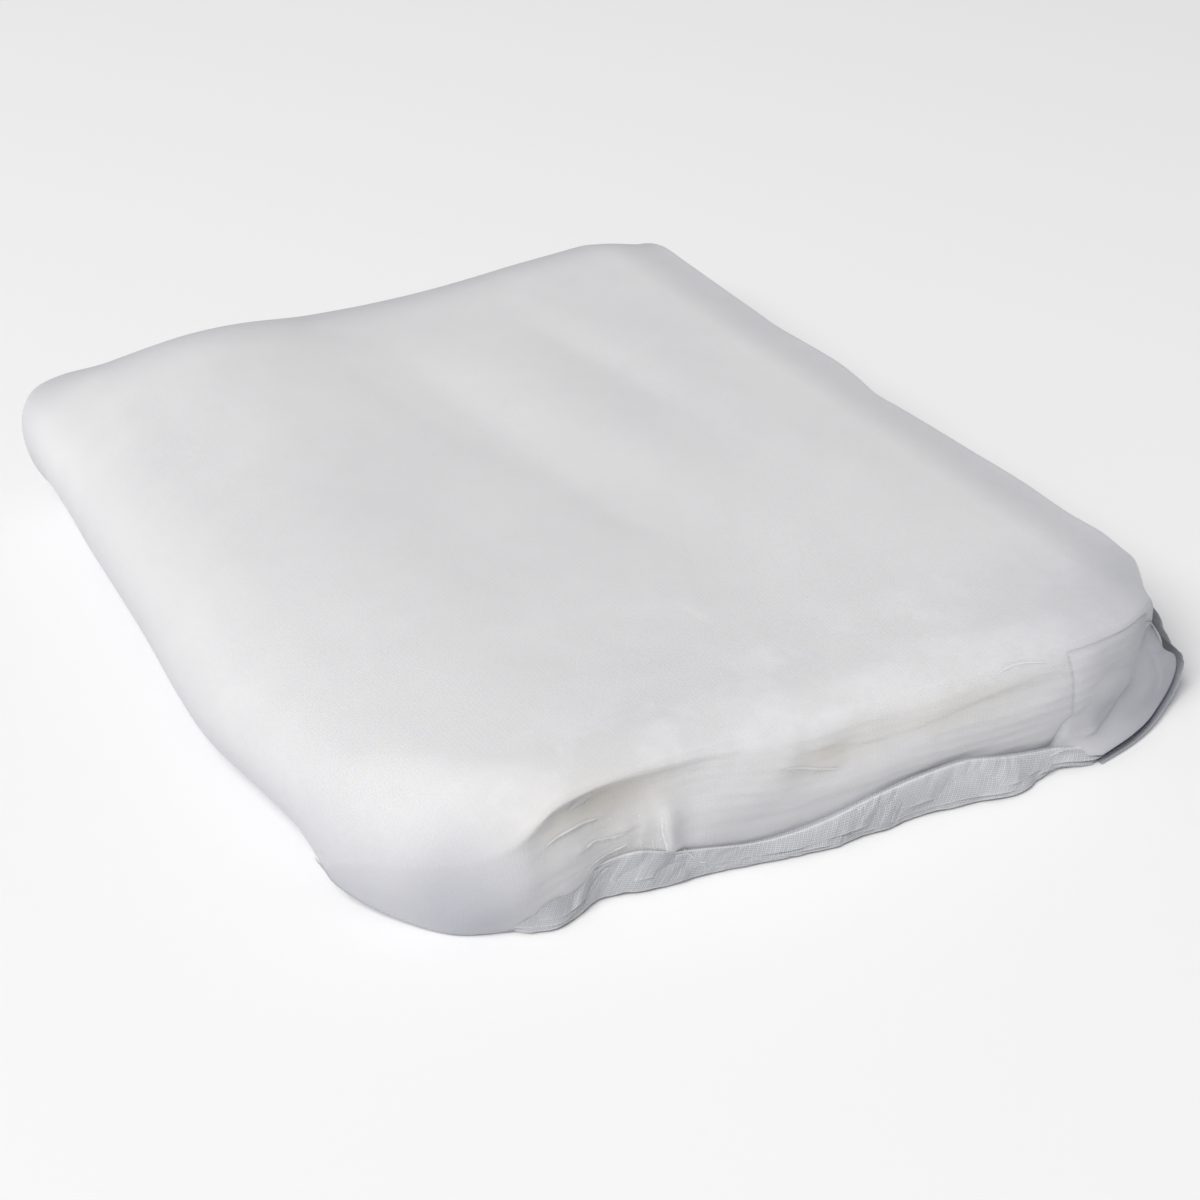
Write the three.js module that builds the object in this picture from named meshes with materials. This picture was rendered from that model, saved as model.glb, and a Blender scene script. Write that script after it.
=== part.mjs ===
import * as THREE from 'three';

// A length of fine insect netting, folded lengthwise to a strip and wound flat into a soft bundle.
// Millimetres, +Z up. X runs along the open end with the wavy lips, which faces -Y.
// The smooth side fold is at -X. The strip's free end lies on top at +X.

// Driving dimensions: the even winding, and the height that its top sinks to where it lies even
const bundleWidth = 332;
const bundleHeight = 57;
const evenTop = 55;
const turnCount = 6;
const stripGap = 1.5;
const turnPitch = (bundleHeight + stripGap) / (2 * turnCount);
const stripThickness = turnPitch - stripGap;
const netColour = 0xe4e4e8;

// Steps of the section and of the length
const flatSteps = 12;
const freeEndSteps = 3;
const widestFoldSteps = 9;
const narrowestFoldSteps = 4;
const lengthSteps = [0, 0.02, 0.045, 0.075, 0.115, 0.17, 0.25, 0.38, 0.53, 0.69, 0.84, 0.95, 1];

// The plan of the open end: how far each level of the strip reaches towards -Y
const openEnd = [
  { x: -166, top: -112, middle: -96, floor: -114 },
  { x: -154, top: -132, middle: -112, floor: -134 },
  { x: -141, top: -149, middle: -128, floor: -150 },
  { x: -124, top: -160, middle: -139, floor: -160 },
  { x: -103, top: -163, middle: -144, floor: -168 },
  { x: -82, top: -165, middle: -143, floor: -164 },
  { x: -60, top: -167, middle: -147, floor: -170 },
  { x: -28, top: -172, middle: -154, floor: -177 },
  { x: 4, top: -177, middle: -162, floor: -183 },
  { x: 45, top: -182, middle: -168, floor: -188 },
  { x: 82, top: -185, middle: -173, floor: -194 },
  { x: 110, top: -187, middle: -175, floor: -198 },
  { x: 130, top: -187, middle: -174, floor: -196 },
  { x: 148, top: -186, middle: -178, floor: -189 },
  { x: 166, top: -180, middle: -185, floor: -181 },
];

// The plan of the plainer end, towards +Y
const plainEnd = [
  { x: -166, top: 190, middle: 188, floor: 184 },
  { x: -145, top: 199, middle: 195, floor: 192 },
  { x: -95, top: 203, middle: 196, floor: 198 },
  { x: -45, top: 206, middle: 197, floor: 200 },
  { x: 0, top: 203, middle: 196, floor: 202 },
  { x: 60, top: 201, middle: 194, floor: 199 },
  { x: 120, top: 201, middle: 194, floor: 200 },
  { x: 150, top: 200, middle: 192, floor: 197 },
  { x: 166, top: 194, middle: 188, floor: 190 },
];

// How far out the smooth side fold reaches along the length
const sideFold = [
  { y: -200, reach: 152 },
  { y: -150, reach: 158 },
  { y: -110, reach: 163 },
  { y: -35, reach: 166 },
  { y: 50, reach: 159 },
  { y: 110, reach: 154 },
  { y: 150, reach: 152 },
  { y: 200, reach: 152 },
];

// Soft rises and troughs of the top, as round or long patches
const topRelief = [
  { x: -72, y: 172, along: 56, across: 55, turn: 0, rise: 9 },
  { x: 45, y: 200, along: 60, across: 40, turn: 0, rise: -1.5 },
  { x: -160, y: 200, along: 60, across: 50, turn: 0, rise: -3 },
  { x: -25, y: 70, along: 110, across: 24, turn: -58, rise: -2.2 },
  { x: 60, y: 95, along: 70, across: 20, turn: -50, rise: -1.6 },
  { x: 45, y: -20, along: 60, across: 30, turn: 10, rise: 1.8 },
  { x: 0, y: -95, along: 90, across: 22, turn: 12, rise: -1.5 },
  { x: 110, y: -60, along: 60, across: 35, turn: -70, rise: 1.5 },
  { x: -100, y: -60, along: 120, across: 32, turn: 82, rise: 2.4 },
];

// Levels of the strip, from 0 on the floor to 1 on top, where the open end changes its reach
const floorLevel = 0.06;
const recessFrom = 0.24;
const recessTo = 0.66;
const topLevel = 0.8;

// Softened edges: how far in from an end the top starts to fall, and how much of it is lost
const openEndFall = { run: 30, loss: 0.2 };
const cornerFall = { run: 56, loss: 0.58, from: -80, to: -140 };
const plainEndFall = { run: 26, loss: 0.13 };
const lipFall = { loss: 0.5, most: 0.72 };

// The free end of the strip on top: its reach, the drop of its edge and how its corner draws back
const freeEnd = { reach: 165, drop: 3.2, dropRun: 22 };
const bareCorner = { reach: 13, run: 70, depth: 26 };

// Waves of the wound layers near the open end
const layerWave = { rise: 1.5, length: 94, run: 55, slant: 0.35 };
const edgeWave = { reach: 2.4, length: 104, shift: 2.4 };

function smoothStep(from, to, value) {
  const t = Math.min(1, Math.max(0, (value - from) / (to - from)));
  return t * t * (3 - 2 * t);
}

// A value between the rows of a table, along its first column, with smooth slopes
function alongTable(rows, key, column, at) {
  const last = rows.length - 1;
  if (at <= rows[0][key]) {
    return rows[0][column];
  }
  if (at >= rows[last][key]) {
    return rows[last][column];
  }
  let row = 0;
  while (rows[row + 1][key] < at) {
    row += 1;
  }
  const slopeAt = (i) => {
    const before = rows[Math.max(0, i - 1)];
    const after = rows[Math.min(last, i + 1)];
    return (after[column] - before[column]) / (after[key] - before[key]);
  };
  const a = rows[row];
  const b = rows[row + 1];
  const span = b[key] - a[key];
  const t = (at - a[key]) / span;
  const t2 = t * t;
  const t3 = t2 * t;
  const ends = a[column] * (2 * t3 - 3 * t2 + 1) + b[column] * (3 * t2 - 2 * t3);
  const slopes = slopeAt(row) * (t3 - 2 * t2 + t) + slopeAt(row + 1) * (t3 - t2);
  return ends + span * slopes;
}

// How far an end reaches at x, for a layer at this level; the outer layer covers the side fold
function endReach(rows, x, level, outermost) {
  const floor = alongTable(rows, 'x', 'floor', x);
  const middle = alongTable(rows, 'x', 'middle', x);
  const top = alongTable(rows, 'x', 'top', x);
  if (outermost && x < 0) {
    return floor + (top - floor) * level;
  }
  const floorShare = 1 - smoothStep(floorLevel, recessFrom, level);
  const topShare = smoothStep(recessTo, topLevel, level);
  return middle + (floor - middle) * floorShare + (top - middle) * topShare;
}

// The height of the bundle's top over the plan
function topHeight(x, y) {
  let height = evenTop;
  for (const patch of topRelief) {
    const turn = THREE.MathUtils.degToRad(patch.turn);
    const dx = x - patch.x;
    const dy = y - patch.y;
    const along = (dx * Math.cos(turn) + dy * Math.sin(turn)) / patch.along;
    const across = (dy * Math.cos(turn) - dx * Math.sin(turn)) / patch.across;
    height += patch.rise * Math.exp(-(along * along + across * across));
  }
  const corner = smoothStep(cornerFall.from, cornerFall.to, x);
  const run = openEndFall.run + (cornerFall.run - openEndFall.run) * corner;
  const loss = openEndFall.loss + (cornerFall.loss - openEndFall.loss) * corner;
  const inFromOpen = (y - alongTable(openEnd, 'x', 'top', x)) / run;
  const openShare = Math.max(0, 1 - inFromOpen);
  const lipLoss = Math.min(lipFall.most, loss + lipFall.loss * (openShare - 1));
  const openLoss = openShare < 1 ? loss * openShare * openShare : lipLoss;
  const inFromPlain = (alongTable(plainEnd, 'x', 'top', x) - y) / plainEndFall.run;
  const plainShare = Math.max(0, 1 - inFromPlain);
  const plainLoss = plainEndFall.loss * plainShare * plainShare;
  return height * (1 - openLoss - plainLoss);
}

// The middle line of the strip in the section across the bundle, from its free end on top inwards
function woundLine() {
  const halfHeight = bundleHeight / 2;
  const leftCentre = halfHeight - bundleWidth / 2;
  const rightCentre = bundleWidth / 2 - halfHeight + turnPitch / 2;
  const points = [];
  let turn = 0;
  const addFlat = (fromX, toX, z, steps) => {
    for (let i = 0; i < steps; i += 1) {
      points.push({ x: fromX + ((toX - fromX) * i) / steps, z, turn });
    }
  };
  const addFold = (centreX, centreZ, radius, side, rising) => {
    const share = radius / halfHeight;
    const steps = Math.round(narrowestFoldSteps + (widestFoldSteps - narrowestFoldSteps) * share);
    for (let i = 0; i < steps; i += 1) {
      const angle = (Math.PI * i) / steps;
      const x = centreX + side * radius * Math.sin(angle);
      const z = centreZ + (rising ? -1 : 1) * radius * Math.cos(angle);
      points.push({ x, z, turn });
    }
  };
  for (turn = 0; turn < turnCount; turn += 1) {
    const topZ = bundleHeight - stripThickness / 2 - turn * turnPitch;
    const floorZ = stripThickness / 2 + turn * turnPitch;
    const startX = turn === 0 ? freeEnd.reach : rightCentre;
    const steps = turn === 0 ? flatSteps + freeEndSteps : flatSteps;
    addFlat(startX, leftCentre, topZ, steps);
    addFold(leftCentre, halfHeight, (topZ - floorZ) / 2, -1, false);
    addFlat(leftCentre, rightCentre, floorZ, flatSteps);
    const nextTopZ = topZ - turnPitch;
    if (turn === turnCount - 1) {
      points.push({ x: rightCentre, z: floorZ, turn });
    } else {
      addFold(rightCentre, (floorZ + nextTopZ) / 2, (nextTopZ - floorZ) / 2, 1, true);
    }
  }
  return points;
}

// The two faces of the strip in the section: half a thickness to each side of the middle line
function stripSection() {
  const line = woundLine();
  return line.map((point, i) => {
    const before = line[Math.max(0, i - 1)];
    const after = line[Math.min(line.length - 1, i + 1)];
    const along = new THREE.Vector2(after.x - before.x, after.z - before.z).normalize();
    const half = stripThickness / 2;
    return {
      level: point.z / bundleHeight,
      turn: point.turn,
      onTop: i <= flatSteps + freeEndSteps,
      outer: { x: point.x + along.y * half, z: point.z - along.x * half },
      inner: { x: point.x - along.y * half, z: point.z + along.x * half },
    };
  });
}

// A point of the even winding, moved to where it lies in the soft bundle
function layPoint(face, section, share) {
  let x = face.x;
  const wave = Math.sin((2 * Math.PI * x) / edgeWave.length + section.turn * edgeWave.shift);
  const cutWave = edgeWave.reach * wave * Math.sin(Math.PI * section.level);
  const outermost = section.turn === 0;
  const yFrom = endReach(openEnd, x, section.level, outermost) + cutWave;
  const yTo = endReach(plainEnd, x, section.level, outermost) - cutWave;
  const y = yFrom + (yTo - yFrom) * share;
  if (outermost && section.onTop) {
    const nearEdge = smoothStep(freeEnd.reach - bareCorner.run, freeEnd.reach, x);
    const nearEnd = 1 - smoothStep(0, bareCorner.depth, y - yFrom);
    x -= bareCorner.reach * nearEdge * nearEnd;
  }
  if (x < 0) {
    x *= alongTable(sideFold, 'y', 'reach', y) / (bundleWidth / 2);
  }
  let z = (face.z * topHeight(x, y)) / bundleHeight;
  if (outermost && section.onTop) {
    z -= freeEnd.drop * smoothStep(freeEnd.reach - freeEnd.dropRun, freeEnd.reach, x);
  }
  const nearOpenEnd = 1 - smoothStep(0, layerWave.run, y - yFrom);
  const between = Math.sin((Math.PI * face.z) / bundleHeight);
  const phase = (2 * Math.PI * (x + layerWave.slant * y)) / layerWave.length;
  z += layerWave.rise * nearOpenEnd * between * between * Math.sin(phase);
  return new THREE.Vector3(x, y, z);
}

// One closed body: both faces of the strip, its two cut ends and its two short edges
function nettingGeometry() {
  const sections = stripSection();
  const rows = sections.length;
  const columns = lengthSteps.length;
  const positions = [];
  for (const side of ['outer', 'inner']) {
    for (const section of sections) {
      for (const share of lengthSteps) {
        positions.push(...layPoint(section[side], section, share).toArray());
      }
    }
  }
  const index = [];
  const at = (side, row, column) => side * rows * columns + row * columns + column;
  const addQuad = (a, b, c, d) => index.push(a, b, c, a, c, d);
  for (let row = 0; row < rows - 1; row += 1) {
    for (let column = 0; column < columns - 1; column += 1) {
      const next = column + 1;
      addQuad(at(0, row, column), at(0, row, next), at(0, row + 1, next), at(0, row + 1, column));
      addQuad(at(1, row, column), at(1, row + 1, column), at(1, row + 1, next), at(1, row, next));
    }
    const end = columns - 1;
    addQuad(at(0, row, 0), at(0, row + 1, 0), at(1, row + 1, 0), at(1, row, 0));
    addQuad(at(0, row, end), at(1, row, end), at(1, row + 1, end), at(0, row + 1, end));
  }
  for (let column = 0; column < columns - 1; column += 1) {
    const next = column + 1;
    const tail = rows - 1;
    addQuad(at(0, 0, column), at(1, 0, column), at(1, 0, next), at(0, 0, next));
    addQuad(at(0, tail, column), at(0, tail, next), at(1, tail, next), at(1, tail, column));
  }
  const geometry = new THREE.BufferGeometry();
  geometry.setAttribute('position', new THREE.Float32BufferAttribute(positions, 3));
  geometry.setIndex(index);
  return geometry;
}

// The middle of the bundle's footprint is the origin
function centreOnFloor(geometry) {
  geometry.computeBoundingBox();
  const { min, max } = geometry.boundingBox;
  geometry.translate(-(min.x + max.x) / 2, -(min.y + max.y) / 2, -min.z);
  return geometry;
}

const bundle = new THREE.Group();
const netMaterial = new THREE.MeshStandardMaterial({ color: netColour, roughness: 0.85, metalness: 0 });
const netting = new THREE.Mesh(centreOnFloor(nettingGeometry()), netMaterial);
netting.name = 'netting';
bundle.add(netting);

export default bundle;
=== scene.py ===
import math
import bmesh
import bpy
import numpy as np
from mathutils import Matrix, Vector


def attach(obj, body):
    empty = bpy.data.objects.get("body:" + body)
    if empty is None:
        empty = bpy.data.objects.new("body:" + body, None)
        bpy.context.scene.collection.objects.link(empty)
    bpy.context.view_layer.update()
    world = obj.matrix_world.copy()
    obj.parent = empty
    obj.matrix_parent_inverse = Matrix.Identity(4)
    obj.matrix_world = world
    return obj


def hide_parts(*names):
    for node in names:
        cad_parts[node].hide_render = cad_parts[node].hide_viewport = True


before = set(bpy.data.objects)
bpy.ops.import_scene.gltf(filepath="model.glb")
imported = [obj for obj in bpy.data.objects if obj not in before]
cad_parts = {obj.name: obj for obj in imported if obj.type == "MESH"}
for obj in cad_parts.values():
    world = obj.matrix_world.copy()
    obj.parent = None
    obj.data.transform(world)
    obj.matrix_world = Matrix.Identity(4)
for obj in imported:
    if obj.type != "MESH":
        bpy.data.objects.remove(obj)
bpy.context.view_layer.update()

# A folded strip of insect netting, wound flat into a soft bundle. Forms are worked out in
# millimetres on the winding's own axes, then moved onto the frame's origin in metres.
# X runs along the open end, which faces -Y, and the smooth side fold is at -X.
mm = 0.001
originShift = (-0.184, -4.238)

winding = {"width": 332.0, "height": 57.0, "evenTop": 55.0, "turns": 6, "gap": 1.5}
winding["pitch"] = (winding["height"] + winding["gap"]) / (2 * winding["turns"])
halfHeight = winding["height"] / 2
leftCentre = halfHeight - winding["width"] / 2
rightCentre = -leftCentre + winding["pitch"] / 2

# x, then how far the top, the middle layers and the floor layers reach towards -Y
openEnd = [
    (-166, -112, -96, -114), (-154, -132, -112, -134), (-141, -149, -128, -150),
    (-124, -160, -139, -160), (-103, -163, -144, -168), (-82, -165, -143, -164),
    (-60, -167, -147, -170), (-28, -172, -154, -177), (4, -177, -162, -183),
    (45, -182, -168, -188), (82, -185, -173, -194), (110, -187, -175, -198),
    (130, -187, -174, -196), (148, -186, -178, -189), (166, -180, -185, -181),
]
plainEnd = [
    (-166, 190, 188, 184), (-145, 199, 195, 192), (-95, 203, 196, 198),
    (-45, 206, 197, 200), (0, 203, 196, 202), (60, 201, 194, 199),
    (120, 201, 194, 200), (150, 200, 192, 197), (166, 194, 188, 190),
]
# y, then how far out the side fold reaches
sideFold = [
    (-200, 152), (-150, 157.5), (-118, 160.5), (-88, 160.5), (-58, 163), (-20, 166),
    (50, 159), (110, 154), (150, 151.5), (185, 152), (204, 156),
]
# Soft rises and troughs of the top: x, y, half length, half width, turn in degrees, rise
topRelief = [
    (-72, 172, 56, 55, 0, 9), (45, 200, 60, 40, 0, -1.5), (-165, 208, 34, 30, 0, 3),
    (6, 60, 105, 24, 98, -1.8), (72, 95, 70, 18, 98, -1.1), (44, 20, 90, 22, 104, 1.2),
    (20, -75, 60, 24, 30, -1.3), (105, -20, 90, 26, 96, 1.2), (-90, -30, 130, 36, 86, 1.8),
]
openEndFall = {"run": 20, "loss": 0.12, "most": 0.72, "pastEnd": 0.5}
cornerFall = {"run": 52, "loss": 0.58, "from": -92, "to": -148}
plainEndFall = {"run": 30, "loss": 0.15, "less": 0.6, "lessAcross": (-105, -150)}
freeEnd = {"reach": 165, "drop": 3.6, "dropRun": 30}
shoulder = {"from": -66, "run": 88, "fall": 9.0, "fade": (110, 190)}
sideLift = {"rise": 9.0, "across": (-118, -152), "along": (110, 200)}
bareCorner = {"reach": 13, "run": 70, "depth": 26}
# y, then how far the free end's edge waves out or in
freeEdgeWave = [
    (-180, -0.5), (-165, -1.3), (-150, -0.2), (-135, 1.6), (-118, 0.5), (-90, 1.5), (-62, 0.3),
    (-35, -0.8), (-15, -2.0), (-1, -3.0), (15, -0.4), (32, 1.3), (48, 0.9), (75, -0.5),
    (92, 0.0), (120, 0.8), (150, 2.0), (176, 3.4), (200, 4.5),
]


def smoothStep(low, high, value):
    t = np.clip((np.asarray(value, float) - low) / (high - low), 0, 1)
    return t * t * (3 - 2 * t)


def alongTable(rows, column, at):
    # smooth values between the rows, held level past both ends
    keys = np.array([row[0] for row in rows], float)
    values = np.array([row[column] for row in rows], float)
    last = len(keys) - 1
    at = np.clip(np.asarray(at, float), keys[0], keys[-1])
    i = np.clip(np.searchsorted(keys, at) - 1, 0, last - 1)
    before = np.maximum(np.arange(last + 1) - 1, 0)
    after = np.minimum(np.arange(last + 1) + 1, last)
    slope = (values[after] - values[before]) / (keys[after] - keys[before])
    span = keys[i + 1] - keys[i]
    t = (at - keys[i]) / span
    ends = values[i] * (2 * t**3 - 3 * t**2 + 1) + values[i + 1] * (3 * t**2 - 2 * t**3)
    return ends + span * (slope[i] * (t**3 - 2 * t**2 + t) + slope[i + 1] * (t**3 - t**2))


def softForms(x, y, forms):
    # soft rises and hollows, each from x, y, half length, half width, turn and rise
    total = 0.0
    for px, py, halfLength, halfWidth, turn, rise in forms:
        c, s = math.cos(math.radians(turn)), math.sin(math.radians(turn))
        along = ((x - px) * c + (y - py) * s) / halfLength
        across = ((y - py) * c - (x - px) * s) / halfWidth
        total = total + rise * np.exp(-(along**2 + across**2))
    return total


def toMetres(points):
    return (points + np.array([originShift[0], originShift[1], 0])) * mm


def addPiece(name, mesh, smooth=True):
    if smooth:
        mesh.polygons.foreach_set("use_smooth", [True] * len(mesh.polygons))
    piece = bpy.data.objects.new(name, mesh)
    bpy.context.scene.collection.objects.link(piece)
    return piece


def endReach(rows, x, level, outermost):
    top, middle, floor = (alongTable(rows, column, x) for column in (1, 2, 3))
    floorShare = 1 - smoothStep(0.06, 0.24, level)
    topShare = smoothStep(0.66, 0.8, level)
    wound = middle + (floor - middle) * floorShare + (top - middle) * topShare
    if not outermost:
        return wound
    return np.where(np.asarray(x) < 0, floor + (top - floor) * level, wound)


def topHeight(x, y):
    height = winding["evenTop"] + softForms(x, y, topRelief)
    slope = np.clip((shoulder["from"] - x) / shoulder["run"], 0, 1.1) ** 2
    height = height - shoulder["fall"] * slope * (1 - smoothStep(*shoulder["fade"], y))
    corner = smoothStep(cornerFall["to"], cornerFall["from"], x)
    run = cornerFall["run"] + (openEndFall["run"] - cornerFall["run"]) * corner
    loss = cornerFall["loss"] + (openEndFall["loss"] - cornerFall["loss"]) * corner
    openShare = np.maximum(0, 1 - (y - alongTable(openEnd, 1, x)) / run)
    lipLoss = np.minimum(openEndFall["most"], loss + openEndFall["pastEnd"] * (openShare - 1))
    openLoss = np.where(openShare < 1, loss * openShare**2, lipLoss)
    plainShare = np.maximum(0, 1 - (alongTable(plainEnd, 1, x) - y) / plainEndFall["run"])
    less = plainEndFall["less"] * smoothStep(*plainEndFall["lessAcross"], x)
    plainLoss = plainEndFall["loss"] * (1 - less)
    return height * (1 - openLoss - plainLoss * plainShare**2)


def liftFold(x, y, z):
    # the side fold's crest rides higher towards the plain end
    level = np.clip(z / winding["height"], 0, 1)
    place = smoothStep(*sideLift["across"], x) * smoothStep(*sideLift["along"], y)
    return sideLift["rise"] * 4 * level * (1 - level) * place


latticeSize = 97


def softNoise(x, y, seed):
    # even value noise from a seeded lattice, about -1 to 1
    lattice = np.random.default_rng(seed).uniform(-1, 1, (latticeSize, latticeSize))
    x, y = np.broadcast_arrays(np.asarray(x, float), np.asarray(y, float))
    xi, yi = np.floor(x).astype(int), np.floor(y).astype(int)
    fx, fy = x - xi, y - yi
    fx, fy = fx * fx * (3 - 2 * fx), fy * fy * (3 - 2 * fy)
    near, far = xi % latticeSize, (xi + 1) % latticeSize
    low, high = yi % latticeSize, (yi + 1) % latticeSize
    a, b, c, d = lattice[near, low], lattice[far, low], lattice[near, high], lattice[far, high]
    return a + (b - a) * fx + (c - a) * fy + (a - b - c + d) * fx * fy


def strokeOffset(x, y, stroke):
    # a crease: a groove along a line and a soft step to its left side
    points = np.array(stroke["line"], float)
    best = np.full(np.shape(x), 1e9)
    signed, place = np.zeros(np.shape(x)), np.zeros(np.shape(x))
    total = 0.0
    for a, b in zip(points[:-1], points[1:]):
        step = b - a
        length = float(np.hypot(*step))
        t = np.clip(((x - a[0]) * step[0] + (y - a[1]) * step[1]) / length**2, 0, 1)
        dx, dy = x - a[0] - t * step[0], y - a[1] - t * step[1]
        away = np.hypot(dx, dy)
        nearer = away < best
        side = np.sign(step[0] * dy - step[1] * dx)
        best = np.where(nearer, away, best)
        signed = np.where(nearer, away * side, signed)
        place = np.where(nearer, total + t * length, place)
        total += length
    fade = stroke.get("fade", total * 0.3)
    strength = smoothStep(0, fade, place) * smoothStep(0, fade, total - place)
    width = stroke["width"]
    groove = stroke.get("groove", 0.0) * np.exp(-((signed / width) ** 2))
    rise = stroke.get("step", 0.0) * 0.5 * (1 + np.tanh(signed / width))
    rise = rise * np.exp(-np.maximum(signed, 0) / stroke.get("decay", width * 8))
    return strength * (rise - groove)


# Meshes from grids of points

def gridFaces(rows, columns, start=0, flip=False):
    faces = []
    for i in range(rows - 1):
        for j in range(columns - 1):
            a = start + i * columns + j
            quad = (a, a + 1, a + columns + 1, a + columns)
            faces.append(quad[::-1] if flip else quad)
    return faces


# points closer than these many metres become one, and shorter edges go
weldDistance, shortestEdge = 2e-6, 1e-7


def clothObject(name, grids, material):
    # one object from several grids in millimetres, with its cloth UVs in metres
    vertices, faces, uvs = [], [], []
    # colour marks: cut edges with a painted highlight, few plies with painted shade, painted creamy shade in
    # the recesses, wisps
    marks = {"cutEdgeAndHighlight": [], "loose": [], "creamyShade": [], "wispy": []}
    for grid in grids:
        points, uv = grid["points"], grid["uv"]
        rows, columns = points.shape[:2]
        faces += gridFaces(rows, columns, len(vertices), grid.get("flip", False))
        vertices += toMetres(points.reshape(-1, 3)).tolist()
        uvs += (uv.reshape(-1, 2) * mm).tolist()
        for key, values in marks.items():
            share = np.broadcast_to(grid.get(key, 0.0), (rows, columns))
            values += share.reshape(-1).tolist()
    mesh = bpy.data.meshes.new(name)
    mesh.from_pydata(vertices, [], faces)
    layer = mesh.uv_layers.new(name="cloth")
    corner = np.zeros(len(mesh.loops), dtype=np.int32)
    mesh.loops.foreach_get("vertex_index", corner)
    layer.data.foreach_set("uv", np.array(uvs, dtype=np.float32)[corner].reshape(-1))
    for key, values in marks.items():
        attribute = mesh.attributes.new(key, "FLOAT", "POINT")
        attribute.data.foreach_set("value", np.array(values, dtype=np.float32))
    work = bmesh.new()
    work.from_mesh(mesh)
    bmesh.ops.remove_doubles(work, verts=work.verts, dist=weldDistance)
    bmesh.ops.dissolve_degenerate(work, edges=work.edges, dist=shortestEdge)
    work.to_mesh(mesh)
    work.free()
    mesh.materials.append(material)
    return addPiece(name, mesh)


def gridNormals(points):
    along = np.gradient(points, axis=1)
    down = np.gradient(points, axis=0)
    normal = np.cross(along, down)
    length = np.linalg.norm(normal, axis=2, keepdims=True)
    return normal / np.maximum(length, 1e-9)


def clothUv(points, uStart=0.0, vColumn=0):
    # u runs along the winding, v across it, both as lengths on the cloth
    middle = points[:, points.shape[1] // 2]
    steps = np.linalg.norm(np.diff(middle, axis=0), axis=1)
    u = uStart + np.concatenate([[0], np.cumsum(steps)])
    across = np.linalg.norm(np.diff(points, axis=1), axis=2)
    v = np.concatenate([np.zeros((len(points), 1)), np.cumsum(across, axis=1)], axis=1)
    v = v - v[:, vColumn:vColumn + 1] + points[:, vColumn, 1][:, None]
    return np.stack([np.repeat(u[:, None], points.shape[1], axis=1), v], axis=2)


def lipReturn(points, normals, outwards, radius, tuck, steps=6):
    # a soft folded edge: round the lip, then back in under it
    rolled = []
    radius = np.broadcast_to(radius, len(points))
    for angle in np.linspace(0, math.pi, steps + 1)[1:]:
        moved = points - normals * (radius * (1 - math.cos(angle)))[:, None]
        moved[:, 1] += outwards * radius * math.sin(angle)
        rolled.append(moved)
    for inset in np.linspace(0, tuck, 4)[1:]:
        moved = points - normals * (radius * 2)[:, None]
        moved[:, 1] -= outwards * inset
        rolled.append(moved)
    return np.stack(rolled, axis=1)


# The outermost turn, with its edge gathered over the open end

outerTurn = {
    "topStep": 0.9, "foldRows": 40, "floorRows": 60, "underRows": 14,
    "axisColumns": 104, "endColumns": 76, "lipRadius": 1.9, "tuck": 9.0,
    "broadWave": 0.45, "fineWave": 0.1, "rightTaper": 8.0, "bendRows": 12, "edgeRoll": 1.6,
}
# x, then how far the top lip and the floor edge draw back behind the loose lips
drawnBack = [
    (-130, 0, 0), (-118, 0.5, 0.5), (-104, 3, 4), (-70, 4, 5), (60, 4, 5),
    (112, 3, 6), (128, 3, 6), (144, 2, 5), (160, 2, 5),
]
# x, then how far the gathered end stands out from a line between the top lip and the floor edge
gatherPlan = [
    # x, tip, under, upper, mid, low, foot
    (-166, 0.0, 0.0, 0.0, 0.0, 0.0, 0.0), (-150, 1.2, 2.2, 3.2, 4.2, 3.4, 1.2),
    (-135, 1.8, 3.0, 4.6, 6.0, 5.0, 1.8), (-122, 1.8, 2.8, 4.2, 5.6, 4.4, 1.0),
    (-112, 1.2, 1.4, 2.4, 4.4, 3.0, 0.0), (-104, 1.0, -0.4, 0.2, 2.8, 2.2, -1.0),
    (-94, 0.9, -2.0, -1.2, 1.8, 1.6, -1.2), (-82, 0.9, -3.0, -2.4, 1.2, 1.2, -1.2),
    (-70, 0.9, -2.8, -2.2, 1.2, 1.0, -1.2), (-58, 0.9, -1.6, -1.0, 1.4, 0.8, -1.6),
    (-46, 1.0, -0.4, 0.2, 1.6, 0.8, -1.6), (-34, 1.6, 1.6, 1.8, 1.8, 0.4, -1.6),
    (-18, 2.4, 3.4, 3.6, 2.6, 0.4, -1.6), (-4, 2.2, 2.8, 1.8, 1.8, 0.2, -1.6),
    (10, 2.0, 2.4, 1.0, 1.4, 0.0, -1.6), (24, 2.3, 3.2, 2.6, 2.2, 0.0, -1.6),
    (45, 2.5, 3.8, 4.0, 3.2, 0.0, -4.0), (75, 2.3, 3.4, 3.2, 2.4, -0.5, -4.0),
    (105, 2.2, 3.2, 3.0, 1.6, -1.0, -5.0), (125, 2.0, 2.8, 2.4, 0.8, -2.0, -6.0),
    (145, 1.6, 2.0, 1.6, 0.4, -2.0, -5.0), (166, 0.5, 0.5, 0.5, 0.0, 0.0, 0.0),
]
gatherShares = [0.0, 0.03, 0.25, 0.48, 0.72, 0.87, 0.945, 1.0]
# Soft forms of the gathered end: x, z, half length, half height, turn, rise
gatherRelief = [
    (-56, 19, 3.5, 14, 4, 1.6), (-48, 20, 5, 13, -6, -0.8), (-30, 24, 14, 9, 10, 1.1),
    (-70, 12, 16, 4, 6, 1.2), (30, 26, 26, 7, 8, 1.2), (58, 18, 26, 5, 10, -1.1),
    (90, 30, 22, 7, -6, 1.3), (112, 14, 13, 5, 30, -3.2), (-118, 20, 8, 10, 20, 1.0),
    (128, 30, 9, 12, 10, -1.4), (70, 40, 24, 4, -8, -0.8),
]
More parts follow.
